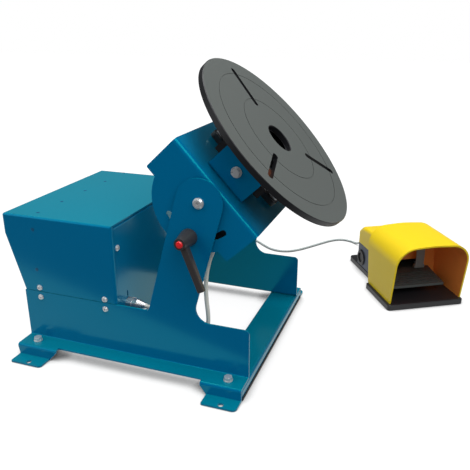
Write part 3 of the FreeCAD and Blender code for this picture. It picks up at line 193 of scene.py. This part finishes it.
pedal_route = metres(to_coil + coil_points() + from_coil)
cable, cable_line = as_tube(route_curve("pedal_route", pedal_route, CABLE_D), "pedal_lead")
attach(cable, "base")
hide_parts("pedal_cable_a", "cable_coil", "pedal_cable_b")
print("pedal lead", round(run_length(cable_line), 3), "m")

# %% [markdown]
# ## Surfaces as shader groups
#
# No real surface is one flat colour. Powder coat has a faint orange-peel skin, moulded
# plastic has a spark-eroded grain, and turned steel carries the lathe's rings. Two node
# groups hold these effects. Each material places them with its own values, so that one
# change to a group changes the whole machine.


# %% Node group: living surface
def group_socket(group, name, kind, way, default=None):
    """Add one socket to a group's interface."""
    socket = group.interface.new_socket(name=name, in_out=way, socket_type=kind)
    if default is not None:
        socket.default_value = default


def node(tree, kind, at, **settings):
    """Add a node and set its properties."""
    made = tree.nodes.new(kind)
    made.location = at
    for key, value in settings.items():
        setattr(made, key, value)
    return made


def living_surface():
    """Group: colour drift, roughness swing and a fine skin, all from Object coordinates."""
    group = bpy.data.node_groups.new("living_surface", "ShaderNodeTree")
    group_socket(group, "Colour", "NodeSocketColor", "INPUT", (0.5, 0.5, 0.5, 1))
    for name, value in (("Drift", 0.05), ("Drift Scale", 6.0), ("Roughness", 0.4), ("Swing", 0.08),
                        ("Skin Scale", 900.0), ("Skin Height", 0.1)):
        group_socket(group, name, "NodeSocketFloat", "INPUT", value)
    group_socket(group, "Colour", "NodeSocketColor", "OUTPUT")
    group_socket(group, "Roughness", "NodeSocketFloat", "OUTPUT")
    group_socket(group, "Normal", "NodeSocketVector", "OUTPUT")
    source = node(group, "NodeGroupInput", (-900, 0))
    sink = node(group, "NodeGroupOutput", (700, 0))
    place = node(group, "ShaderNodeTexCoord", (-900, 300))
    drift = node(group, "ShaderNodeTexNoise", (-600, 300))
    drift.inputs["Detail"].default_value = 3.0
    skin = node(group, "ShaderNodeTexNoise", (-600, -200))
    skin.inputs["Detail"].default_value = 2.0
    link = group.links.new
    link(place.outputs["Object"], drift.inputs["Vector"])
    link(source.outputs["Drift Scale"], drift.inputs["Scale"])
    link(place.outputs["Object"], skin.inputs["Vector"])
    link(source.outputs["Skin Scale"], skin.inputs["Scale"])
    centred = node(group, "ShaderNodeMath", (-400, 300), operation="SUBTRACT")
    centred.inputs[1].default_value = 0.5
    link(drift.outputs["Fac"], centred.inputs[0])
    amount = node(group, "ShaderNodeMath", (-200, 300), operation="MULTIPLY_ADD")
    amount.inputs[2].default_value = 1.0
    link(centred.outputs[0], amount.inputs[0])
    link(source.outputs["Drift"], amount.inputs[1])
    tone = node(group, "ShaderNodeVectorMath", (200, 300), operation="SCALE")
    link(source.outputs["Colour"], tone.inputs[0])
    link(amount.outputs[0], tone.inputs["Scale"])
    swing = node(group, "ShaderNodeMath", (0, 60), operation="MULTIPLY_ADD", use_clamp=True)
    link(centred.outputs[0], swing.inputs[0])
    link(source.outputs["Swing"], swing.inputs[1])
    link(source.outputs["Roughness"], swing.inputs[2])
    bump = node(group, "ShaderNodeBump", (200, -200))
    bump.inputs["Distance"].default_value = 0.0004
    link(source.outputs["Skin Height"], bump.inputs["Strength"])
    link(skin.outputs["Fac"], bump.inputs["Height"])
    link(tone.outputs["Vector"], sink.inputs["Colour"])
    link(swing.outputs[0], sink.inputs["Roughness"])
    link(bump.outputs["Normal"], sink.inputs["Normal"])
    return group


LIVING = living_surface()
print("group", LIVING.name, len(LIVING.nodes), "nodes")


# %% Material maker
def finish(name, colour, roughness=0.4, metallic=0.0, coat=0.0, drift=0.06, drift_scale=7.0,
           swing=0.08, skin_scale=900.0, skin_height=0.08):
    """A material whose colour, gloss and skin come from the living surface group."""
    material = bpy.data.materials.new(name)
    material.use_nodes = True
    tree = material.node_tree
    shader = tree.nodes["Principled BSDF"]
    shader.inputs["Metallic"].default_value = metallic
    shader.inputs["Coat Weight"].default_value = coat
    shader.inputs["Coat Roughness"].default_value = 0.06
    surface = node(tree, "ShaderNodeGroup", (-350, 200), node_tree=LIVING)
    surface.inputs["Colour"].default_value = (*colour, 1.0)
    for key, value in (("Drift", drift), ("Drift Scale", drift_scale), ("Roughness", roughness),
                       ("Swing", swing), ("Skin Scale", skin_scale), ("Skin Height", skin_height)):
        surface.inputs[key].default_value = value
    tree.links.new(surface.outputs["Colour"], shader.inputs["Base Color"])
    tree.links.new(surface.outputs["Roughness"], shader.inputs["Roughness"])
    tree.links.new(surface.outputs["Normal"], shader.inputs["Normal"])
    return material


def linear(red, green, blue):
    """Linear colour from an 8-bit sRGB one."""
    def channel(value):
        share = value / 255
        return share / 12.92 if share <= 0.04045 else ((share + 0.055) / 1.055) ** 2.4
    return channel(red), channel(green), channel(blue)


# %% [markdown]
# ## Paint, metal and plastic
#
# The folded steel is powder coated in a glossy petrol blue whose sheen is teal: it mirrors
# the flange and its bolts. The turntable is blackened steel, turned on its face; its bore and
# slot walls are painted near black as painted shade. Screws are zinc plated, the pedal is
# yellow and grey plastic on a black base.

# %% Materials
TEAL_SHEEN = (0.02, 1.0, 0.82, 1.0)
# Painted light: faces that look up take the second colour, lighter and greener, for how light
# falls on the tops.
PAINT_UPRIGHT, PAINT_TOP_PAINTED_LIGHT = linear(0, 106, 156), linear(0, 124, 150)


def powder_coat():
    """Glossy petrol blue, teal sheen, and painted light: faces that look up are painted greener.
    """
    material = finish("blue_powder_coat", PAINT_UPRIGHT, 0.16, drift=0.04, swing=0.05,
                      skin_scale=420, skin_height=0.03)
    tree = material.node_tree
    shader = tree.nodes["Principled BSDF"]
    surface = next(n for n in tree.nodes if n.type == "GROUP")
    # Painted light: the colour blends towards the lighter top colour as the face's normal turns
    # upwards.
    place = node(tree, "ShaderNodeTexCoord", (-1200, 200))
    split = node(tree, "ShaderNodeSeparateXYZ", (-1000, 200))
    up = node(tree, "ShaderNodeMapRange", (-800, 200))
    up.inputs["From Min"].default_value = 0.6
    up.inputs["From Max"].default_value = 1.0
    mix = node(tree, "ShaderNodeMix", (-600, 200), data_type="RGBA")
    mix.inputs["A"].default_value = (*PAINT_UPRIGHT, 1.0)
    mix.inputs["B"].default_value = (*PAINT_TOP_PAINTED_LIGHT, 1.0)
    tree.links.new(place.outputs["Normal"], split.inputs[0])
    tree.links.new(split.outputs["Z"], up.inputs["Value"])
    tree.links.new(up.outputs["Result"], mix.inputs["Factor"])
    tree.links.new(mix.outputs["Result"], surface.inputs["Colour"])
    shader.inputs["Specular IOR Level"].default_value = 0.75
    shader.inputs["Specular Tint"].default_value = TEAL_SHEEN
    shader.inputs["Sheen Weight"].default_value = 0.16
    shader.inputs["Sheen Roughness"].default_value = 0.4
    shader.inputs["Sheen Tint"].default_value = TEAL_SHEEN
    return material


blue_paint = powder_coat()
zinc = finish("zinc_plate", linear(226, 228, 230), 0.3, metallic=0.62, drift=0.15, drift_scale=60,
              swing=0.2, skin_scale=500)
bright_steel = finish("ground_steel", linear(160, 162, 165), 0.28, metallic=1.0, drift=0.1)
casting = finish("machined_casting", linear(72, 76, 80), 0.5, metallic=0.6, drift=0.2,
                 drift_scale=40, skin_scale=350, skin_height=0.35)
motor_paint = finish("motor_paint", linear(30, 31, 34), 0.35, drift=0.1)
black_plastic = finish("black_moulding", linear(24, 24, 26), 0.42, drift=0.1, skin_scale=1400,
                       skin_height=0.25)
lever_plastic = finish("lever_moulding", linear(58, 54, 54), 0.34, drift=0.12, drift_scale=30,
                       skin_scale=1600, skin_height=0.2)
base_plastic = finish("base_moulding", linear(34, 34, 37), 0.4, drift=0.1, skin_scale=1400,
                      skin_height=0.25)
# Painted reflection: the treadle is dark plastic, and its base colour is lifted to a green-grey
# that stands in for the sheen on it.
treadle_painted_sheen = finish("treadle_moulding_painted_sheen", linear(66, 72, 70), 0.38, drift=0.15, drift_scale=20,
                       skin_scale=1300, skin_height=0.3)
grey_plastic = finish("grey_moulding", linear(78, 86, 100), 0.45, drift=0.08, skin_scale=1200,
                      skin_height=0.3)
latch_plastic = finish("latch_moulding", linear(128, 132, 128), 0.5, drift=0.08, skin_scale=1200,
                       skin_height=0.3)
nickel = finish("nickel_gland", linear(212, 216, 220), 0.26, metallic=0.9, drift=0.12,
                drift_scale=50, swing=0.15)
red_plastic = finish("red_moulding", linear(238, 30, 38), 0.28, coat=0.4, drift=0.03)
rubber = finish("strip_rubber", linear(16, 16, 17), 0.7, drift=0.15, skin_scale=700,
                skin_height=0.3)
copper = finish("brush_copper", linear(222, 138, 104), 0.35, metallic=1.0, drift=0.2,
                drift_scale=80)
bronze = finish("bush_bronze", linear(170, 130, 72), 0.4, metallic=1.0)
hose_skin = finish("hose_sheath", linear(240, 240, 228), 0.42, drift=0.05, drift_scale=20)
cable_skin = finish("cable_sheath", linear(190, 198, 196), 0.45, drift=0.05, drift_scale=20)
print(len(bpy.data.materials), "finishes")

# %% [markdown]
# ## A hood with painted shade inside
#
# Yellow plastic looks orange in its own shade, because light that has bounced between two
# yellow walls has lost its blue twice. That shade is painted: the hood's colour deepens to
# orange where a face looks towards the middle of the arch.


# %% Yellow hood
HOOD_YELLOW, HOOD_SHADE = linear(250, 216, 20), linear(255, 158, 74)
ARCH_FLOOR = 0.045


def hood_material():
    """Yellow, with painted shade in orange-brown where a face looks towards the arch's middle."""
    material = finish("yellow_moulding_painted_shade", HOOD_YELLOW, 0.34, drift=0.03, skin_scale=1000,
                      skin_height=0.1)
    tree = material.node_tree
    shader = tree.nodes["Principled BSDF"]
    shader.inputs["Specular IOR Level"].default_value = 0.35
    surface = next(n for n in tree.nodes if n.type == "GROUP")
    place = node(tree, "ShaderNodeTexCoord", (-1300, -200))
    low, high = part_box("pedal_hood")
    offset = node(tree, "ShaderNodeVectorMath", (-1100, -200), operation="SUBTRACT")
    offset.inputs[1].default_value = ((low[0] + high[0]) / 2, (low[1] + high[1]) / 2, ARCH_FLOOR)
    toward = node(tree, "ShaderNodeVectorMath", (-900, -300), operation="DOT_PRODUCT")
    # Painted shade: the mask is one where a face looks towards the arch's middle.
    inside = node(tree, "ShaderNodeMapRange", (-700, -300))
    inside.inputs["From Min"].default_value = -0.002
    inside.inputs["From Max"].default_value = -0.012
    blend = node(tree, "ShaderNodeMix", (-500, -300), data_type="RGBA")
    blend.inputs["A"].default_value = (*HOOD_YELLOW, 1.0)
    blend.inputs["B"].default_value = (*HOOD_SHADE, 1.0)
    link = tree.links.new
    link(place.outputs["Object"], offset.inputs[0])
    link(offset.outputs["Vector"], toward.inputs[0])
    link(place.outputs["Normal"], toward.inputs[1])
    link(toward.outputs["Value"], inside.inputs["Value"])
    link(inside.outputs["Result"], blend.inputs["Factor"])
    link(blend.outputs["Result"], surface.inputs["Colour"])
    return material


yellow_hood = hood_material()
yellow_cap = finish("yellow_cap_moulding", HOOD_YELLOW, 0.34, drift=0.03, skin_scale=1000,
                    skin_height=0.1)
print("arch floor", ARCH_FLOOR, "m")

# %% [markdown]
# ## Lathe rings
#
# A faceplate is faced on a lathe, so its marks run round the axis of the spindle, which
# leans with the head. A Mapping node turns Object coordinates into the head's own axes, and
# the distance from the spindle drives a fine ripple in tone, gloss and height.


# %% Turned steel
HEAD_ORIGIN = Vector((0.130, 0.0, 0.319))
HEAD_TURN = radians(47.0)


def lathe_rings():
    """Group: rings round the spindle axis, as tone, roughness and normal."""
    group = bpy.data.node_groups.new("lathe_rings", "ShaderNodeTree")
    group_socket(group, "Colour", "NodeSocketColor", "INPUT", (0.1, 0.1, 0.1, 1))
    for name, value in (("Rings", 2600.0), ("Tone", 0.25), ("Roughness", 0.35), ("Depth", 0.1)):
        group_socket(group, name, "NodeSocketFloat", "INPUT", value)
    group_socket(group, "Colour", "NodeSocketColor", "OUTPUT")
    group_socket(group, "Roughness", "NodeSocketFloat", "OUTPUT")
    group_socket(group, "Normal", "NodeSocketVector", "OUTPUT")
    source = node(group, "NodeGroupInput", (-1100, 0))
    sink = node(group, "NodeGroupOutput", (700, 0))
    place = node(group, "ShaderNodeTexCoord", (-1100, 300))
    flat = node(group, "ShaderNodeMapping", (-900, 300), vector_type="TEXTURE")
    flat.inputs["Location"].default_value = HEAD_ORIGIN
    flat.inputs["Rotation"].default_value = (0.0, HEAD_TURN, 0.0)
    split = node(group, "ShaderNodeSeparateXYZ", (-700, 300))
    across = node(group, "ShaderNodeCombineXYZ", (-500, 300))
    radius = node(group, "ShaderNodeVectorMath", (-300, 300), operation="LENGTH")
    line = node(group, "ShaderNodeCombineXYZ", (-150, 300))
    noise = node(group, "ShaderNodeTexNoise", (0, 300))
    noise.inputs["Detail"].default_value = 4.0
    noise.inputs["Roughness"].default_value = 0.7
    link = group.links.new
    link(place.outputs["Object"], flat.inputs["Vector"])
    link(flat.outputs["Vector"], split.inputs[0])
    link(split.outputs["X"], across.inputs["X"])
    link(split.outputs["Y"], across.inputs["Y"])
    link(across.outputs[0], radius.inputs[0])
    link(radius.outputs["Value"], line.inputs["X"])
    link(line.outputs[0], noise.inputs["Vector"])
    link(source.outputs["Rings"], noise.inputs["Scale"])
    centred = node(group, "ShaderNodeMath", (150, 300), operation="SUBTRACT")
    centred.inputs[1].default_value = 0.5
    link(noise.outputs["Fac"], centred.inputs[0])
    amount = node(group, "ShaderNodeMath", (300, 300), operation="MULTIPLY_ADD")
    amount.inputs[2].default_value = 1.0
    link(centred.outputs[0], amount.inputs[0])
    link(source.outputs["Tone"], amount.inputs[1])
    tone = node(group, "ShaderNodeVectorMath", (450, 300), operation="SCALE")
    link(source.outputs["Colour"], tone.inputs[0])
    link(amount.outputs[0], tone.inputs["Scale"])
    swing = node(group, "ShaderNodeMath", (450, 80), operation="MULTIPLY_ADD", use_clamp=True)
    swing.inputs[1].default_value = 0.25
    link(centred.outputs[0], swing.inputs[0])
    link(source.outputs["Roughness"], swing.inputs[2])
    bump = node(group, "ShaderNodeBump", (450, -150))
    bump.inputs["Distance"].default_value = 0.0002
    link(source.outputs["Depth"], bump.inputs["Strength"])
    link(noise.outputs["Fac"], bump.inputs["Height"])
    link(tone.outputs["Vector"], sink.inputs["Colour"])
    link(swing.outputs[0], sink.inputs["Roughness"])
    link(bump.outputs["Normal"], sink.inputs["Normal"])
    return group


RINGS = lathe_rings()


def turned_metal(name, colour, roughness, metallic, rings=900.0, tone=0.3, depth=0.15):
    """Lathe rings round the spindle; off the front, blackened rim and painted shade in bores."""
    material = bpy.data.materials.new(name)
    material.use_nodes = True
    tree = material.node_tree
    shader = tree.nodes["Principled BSDF"]
    shader.inputs["Metallic"].default_value = metallic
    surface = node(tree, "ShaderNodeGroup", (-350, 200), node_tree=RINGS)
    place = node(tree, "ShaderNodeTexCoord", (-1200, 200))
    ahead = node(tree, "ShaderNodeVectorMath", (-1000, 200), operation="DOT_PRODUCT")
    ahead.inputs[1].default_value = (sin(HEAD_TURN), 0.0, cos(HEAD_TURN))
    front = node(tree, "ShaderNodeMapRange", (-800, 200))
    front.inputs["From Min"].default_value = 0.9
    front.inputs["From Max"].default_value = 0.98
    # Painted shade: faces that aren't the front take a near-black colour, which darkens bore and
    # slot walls as shade would; on the rim it is the blackened finish.
    blend = node(tree, "ShaderNodeMix", (-600, 200), data_type="RGBA")
    blend.inputs["A"].default_value = (*linear(30, 31, 34), 1.0)
    blend.inputs["B"].default_value = (*colour, 1.0)
    tree.links.new(place.outputs["Normal"], ahead.inputs[0])
    tree.links.new(ahead.outputs["Value"], front.inputs["Value"])
    tree.links.new(front.outputs["Result"], blend.inputs["Factor"])
    tree.links.new(blend.outputs["Result"], surface.inputs["Colour"])
    for key, value in (("Rings", rings), ("Tone", tone), ("Roughness", roughness),
                       ("Depth", depth)):
        surface.inputs[key].default_value = value
    tree.links.new(surface.outputs["Colour"], shader.inputs["Base Color"])
    tree.links.new(surface.outputs["Roughness"], shader.inputs["Roughness"])
    tree.links.new(surface.outputs["Normal"], shader.inputs["Normal"])
    return material


table_steel = turned_metal("faceplate_blackened_painted_shade", linear(108, 113, 110), 0.42, 0.3)
spindle_steel = turned_metal("turned_spindle", linear(120, 122, 126), 0.3, 1.0)
print("group", RINGS.name, len(RINGS.nodes), "nodes")

# %% [markdown]
# ## Dressing the construction
#
# One table says which finish each node wears. It reads like a parts list: all fasteners are
# zinc plated, everything that rolls or meshes is ground steel, and rubber is only on the
# strips of the two cross members.

# %% Dress the construction
DRESS = {
    blue_paint: ("side_frame_near", "side_frame_far", "front_cross_member", "rear_cross_member",
                 "chassis_tray", "front_wall", "housing_cover", "brush_bracket", "head_channel"),
    zinc: ("frame_bolts", "frame_nuts", "button_screws", "pivot_bolts", "pivot_nuts", "clamp_stud",
           "housing_bolts", "bracket_bolt", "brush_plate", "table_screws", "seam_straps",
           "motor_plate", "motor_standoffs", "pedal_pins", "power_supply"),
    bright_steel: ("table_gear", "pinion", "bearing_outer_rings", "bearing_inner_rings",
                   "retaining_ring", "brush_springs"),
    spindle_steel: ("spindle",),
    table_steel: ("rotary_table",),
    casting: ("bearing_housing", "gearbox_case"),
    motor_paint: ("drive_motor",),
    bronze: ("pivot_bushes",),
    copper: ("earth_brushes",),
    black_plastic: ("power_inlet", "brush_block", "speed_knob", "direction_knob", "pedal_plug",
                    "pedal_gland", "rear_gland", "terminal_box"),
    treadle_painted_sheen: ("pedal_treadle",),
    lever_plastic: ("clamp_lever",),
    base_plastic: ("pedal_base",),
    grey_plastic: ("pedal_body",),
    latch_plastic: ("toe_latch",),
    nickel: ("hose_gland",),
    yellow_hood: ("pedal_hood",),
    yellow_cap: ("pedal_cap",),
    red_plastic: ("lever_button", "mains_switch"),
    rubber: ("edge_strips",),
}


def dress(piece, material):
    """Give a piece one material in its first slot."""
    slots = piece.data.materials
    if len(slots):
        for index in range(len(slots)):
            slots[index] = material
    else:
        slots.append(material)


for material, names in DRESS.items():
    for name in names:
        dress(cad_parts[name], material)
dress(hose, hose_skin)
dress(cable, cable_skin)
print(sum(len(names) for names in DRESS.values()), "pieces dressed")

# %% [markdown]
# ## Weld marks
#
# Studs and brackets are spot welded inside the housing, and each leaves a shallow dimple in
# the outer skin that the paint doesn't hide. Every mark is a low dome with a ring round it.


# %% Weld marks on the housing
MARK_SECTION = ((0.0, 0.22), (0.35, 0.2), (0.6, 0.04), (0.8, 0.26), (1.0, 0.02))
TOP_MARKS_ALONG, TOP_MARKS_ACROSS = -0.192, (-0.142, -0.071, 0.007, 0.082, 0.159)
SIDE_MARKS = ((-0.189, 0.237), (-0.191, 0.160))
TOP_MARK_RADIUS, SIDE_MARK_RADIUS = 3.2 * MM, 3.4 * MM


def weld_mark(name, at, normal, radius):
    """A low dome inside a shallow ring: half a section, spun round the sheet's normal."""
    mesh = bmesh.new()
    corners = [mesh.verts.new((share * radius, 0, height * MM)) for share, height in MARK_SECTION]
    edges = [mesh.edges.new(pair) for pair in zip(corners, corners[1:])]
    bmesh.ops.spin(mesh, geom=corners + edges, cent=(0, 0, 0), axis=(0, 0, 1),
                   angle=radians(360), steps=24, use_merge=True)
    bmesh.ops.remove_doubles(mesh, verts=mesh.verts, dist=1e-7)
    mesh.normal_update()
    if sum(face.normal.z for face in mesh.faces) < 0:
        bmesh.ops.reverse_faces(mesh, faces=mesh.faces)
    turn = Vector((0, 0, 1)).rotation_difference(Vector(normal)).to_matrix().to_4x4()
    bmesh.ops.transform(mesh, matrix=Matrix.Translation(Vector(at)) @ turn, verts=mesh.verts)
    for face in mesh.faces:
        face.smooth = True
    data = bpy.data.meshes.new(name)
    mesh.to_mesh(data)
    mesh.free()
    mark = bpy.data.objects.new(name, data)
    bpy.context.collection.objects.link(mark)
    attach(mark, "base")
    dress(mark, mark_paint)


mark_paint = finish("weld_mark_paint", linear(0, 84, 122), 0.2, drift=0.1, drift_scale=90)
cover_low, cover_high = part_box("housing_cover")
for index, across in enumerate(TOP_MARKS_ACROSS):
    weld_mark("weld_mark_top_%d" % index, (TOP_MARKS_ALONG, across, cover_high[2]), (0, 0, 1),
              TOP_MARK_RADIUS)
for index, (along, height) in enumerate(SIDE_MARKS):
    weld_mark("weld_mark_side_%d" % index, (along, cover_low[1], height), (0, -1, 0),
              SIDE_MARK_RADIUS)
print(len(TOP_MARKS_ACROSS) + len(SIDE_MARKS), "weld marks")

# %% [markdown]
# ## Floor and light
#
# A pale floor and large soft lamps show gloss without hard shadows. The floor is white to
# the camera because part of its brightness comes from Light Path and only the rest, which keeps
# the lamps' shadow, from the lamps. That glow is painted darker where ambient occlusion finds
# the machine close, a painted contact shadow, and mirrored rays see a glowing patch beside the
# machine and a dark floor elsewhere, a painted reflection.

# %% Floor
FLOOR_SIZE, FLOOR_DROP = 16.0, 0.0005
PAINTED_SHADOW_REACH, PAINTED_SHADOW_DARK, PAINTED_SHADOW_CLEAR = 0.035, 0.3, 0.8
FLOOR_GLOW, WHITE_FROM, WHITE_FULL = 0.92, 0.7, 1.3
REFLECTED_PATCH_NORMAL, REFLECTED_PATCH_START, REFLECTED_PATCH_FULL, REFLECTED_PATCH_GLOW = (-0.305, 0.952, 0.0), -0.299, -0.291, 0.72
bpy.ops.mesh.primitive_plane_add(size=FLOOR_SIZE, location=(0.0, 0.0, -FLOOR_DROP))
floor = bpy.context.object
floor.name = "floor"


def floor_material():
    """White floor: lamps, a glow with a painted contact shadow, and a painted reflection patch."""
    material = bpy.data.materials.new("floor_white")
    material.use_nodes = True
    tree = material.node_tree
    tree.nodes.clear()
    link = tree.links.new
    out = node(tree, "ShaderNodeOutputMaterial", (900, 0))
    paper = node(tree, "ShaderNodeBsdfDiffuse", (300, 200))
    paper.inputs["Color"].default_value = (0.16, 0.16, 0.16, 1)
    glow = node(tree, "ShaderNodeEmission", (300, -100))
    path = node(tree, "ShaderNodeLightPath", (-900, -500))
    place = node(tree, "ShaderNodeTexCoord", (-1300, 0))
    # Painted shadow: ambient occlusion cuts the camera's glow under and beside the machine.
    shade = node(tree, "ShaderNodeAmbientOcclusion", (-900, 200), samples=8)
    shade.inputs["Distance"].default_value = PAINTED_SHADOW_REACH
    lift = node(tree, "ShaderNodeMapRange", (-600, 200))
    lift.inputs["From Min"].default_value = PAINTED_SHADOW_DARK
    lift.inputs["From Max"].default_value = PAINTED_SHADOW_CLEAR
    lift.inputs["To Max"].default_value = FLOOR_GLOW
    far = node(tree, "ShaderNodeVectorMath", (-1100, 0), operation="LENGTH")
    away = node(tree, "ShaderNodeMapRange", (-600, 0))
    away.inputs["From Min"].default_value = WHITE_FROM
    away.inputs["From Max"].default_value = WHITE_FULL
    away.inputs["To Max"].default_value = 1.0
    plain = node(tree, "ShaderNodeMath", (-350, 100), operation="MAXIMUM")
    # Painted reflection: mirrored rays see a glowing patch on the machine's side of this line, and
    # a dark floor elsewhere.
    edge = node(tree, "ShaderNodeVectorMath", (-1100, -200), operation="DOT_PRODUCT")
    edge.inputs[1].default_value = REFLECTED_PATCH_NORMAL
    sheet = node(tree, "ShaderNodeMapRange", (-600, -200))
    sheet.inputs["From Min"].default_value = REFLECTED_PATCH_START
    sheet.inputs["From Max"].default_value = REFLECTED_PATCH_FULL
    sheet.inputs["To Min"].default_value = 0.0
    sheet.inputs["To Max"].default_value = REFLECTED_PATCH_GLOW
    seen = node(tree, "ShaderNodeMath", (-100, 0), operation="MULTIPLY")
    mirrored = node(tree, "ShaderNodeMath", (-100, -250), operation="MULTIPLY")
    either = node(tree, "ShaderNodeMath", (100, -100), operation="ADD")
    dark = node(tree, "ShaderNodeBsdfDiffuse", (300, 50))
    dark.inputs["Color"].default_value = (0.1, 0.1, 0.1, 1)
    choose = node(tree, "ShaderNodeMixShader", (550, 150))
    total = node(tree, "ShaderNodeAddShader", (720, 0))
    link(shade.outputs["AO"], lift.inputs["Value"])
    link(place.outputs["Object"], far.inputs[0])
    link(far.outputs["Value"], away.inputs["Value"])
    link(lift.outputs["Result"], plain.inputs[0])
    link(away.outputs["Result"], plain.inputs[1])
    link(plain.outputs[0], seen.inputs[0])
    link(path.outputs["Is Camera Ray"], seen.inputs[1])
    link(place.outputs["Object"], edge.inputs[0])
    link(edge.outputs["Value"], sheet.inputs["Value"])
    link(sheet.outputs["Result"], mirrored.inputs[0])
    link(path.outputs["Is Glossy Ray"], mirrored.inputs[1])
    link(seen.outputs[0], either.inputs[0])
    link(mirrored.outputs[0], either.inputs[1])
    link(either.outputs[0], glow.inputs["Strength"])
    link(path.outputs["Is Glossy Ray"], choose.inputs[0])
    link(paper.outputs[0], choose.inputs[1])
    link(dark.outputs[0], choose.inputs[2])
    link(choose.outputs[0], total.inputs[0])
    link(glow.outputs[0], total.inputs[1])
    link(total.outputs[0], out.inputs["Surface"])
    return material


floor.data.materials.append(floor_material())
print("floor", FLOOR_SIZE, "m wide")

# %% World
WORLD_TINT, WORLD_LIGHT, WORLD_GLOSS = (0.93, 0.96, 1.0, 1), 0.5, 0.15
world = bpy.data.worlds.new("studio")
bpy.context.scene.world = world
world.use_nodes = True
world_tree = world.node_tree
world_tree.nodes.clear()
world_out = node(world_tree, "ShaderNodeOutputWorld", (600, 0))
world_path = node(world_tree, "ShaderNodeLightPath", (-400, 300))
world_light = node(world_tree, "ShaderNodeBackground", (-100, 100))
world_light.inputs["Color"].default_value = WORLD_TINT
world_light.inputs["Strength"].default_value = WORLD_LIGHT
world_gloss = node(world_tree, "ShaderNodeBackground", (-100, -50))
world_gloss.inputs["Strength"].default_value = WORLD_GLOSS
world_seen = node(world_tree, "ShaderNodeBackground", (-100, -200))
world_seen.inputs["Color"].default_value = (1, 1, 1, 1)
world_glossy = node(world_tree, "ShaderNodeMixShader", (150, 100))
world_mix = node(world_tree, "ShaderNodeMixShader", (400, 0))
world_tree.links.new(world_path.outputs["Is Glossy Ray"], world_glossy.inputs[0])
world_tree.links.new(world_light.outputs[0], world_glossy.inputs[1])
world_tree.links.new(world_gloss.outputs[0], world_glossy.inputs[2])
world_tree.links.new(world_path.outputs["Is Camera Ray"], world_mix.inputs[0])
world_tree.links.new(world_glossy.outputs[0], world_mix.inputs[1])
world_tree.links.new(world_seen.outputs[0], world_mix.inputs[2])
world_tree.links.new(world_mix.outputs[0], world_out.inputs["Surface"])
bpy.context.scene.view_settings.view_transform = "Standard"
print("world light", WORLD_LIGHT, "and", WORLD_GLOSS, "for mirrored rays")


# %% Lamps
def soft_lamp(name, place, target, size, power):
    """A large square lamp aimed at a point."""
    data = bpy.data.lights.new(name, "AREA")
    data.size = size
    data.energy = power
    lamp = bpy.data.objects.new(name, data)
    lamp.location = place
    aim = Vector(target) - Vector(place)
    lamp.rotation_euler = aim.to_track_quat("-Z", "Y").to_euler()
    bpy.context.collection.objects.link(lamp)


LAMPS = (("key", (1.3, -1.1, 1.9), (0.1, 0.0, 0.25), 1.4, 18),
         ("fill", (-1.6, -1.2, 1.2), (0.0, 0.0, 0.2), 1.6, 7),
         ("top", (0.0, 0.3, 2.2), (0.0, 0.0, 0.2), 1.8, 36))
for lamp_name, lamp_place, lamp_target, lamp_size, lamp_power in LAMPS:
    soft_lamp(lamp_name, lamp_place, lamp_target, lamp_size, lamp_power)
print(len(LAMPS), "lamps")
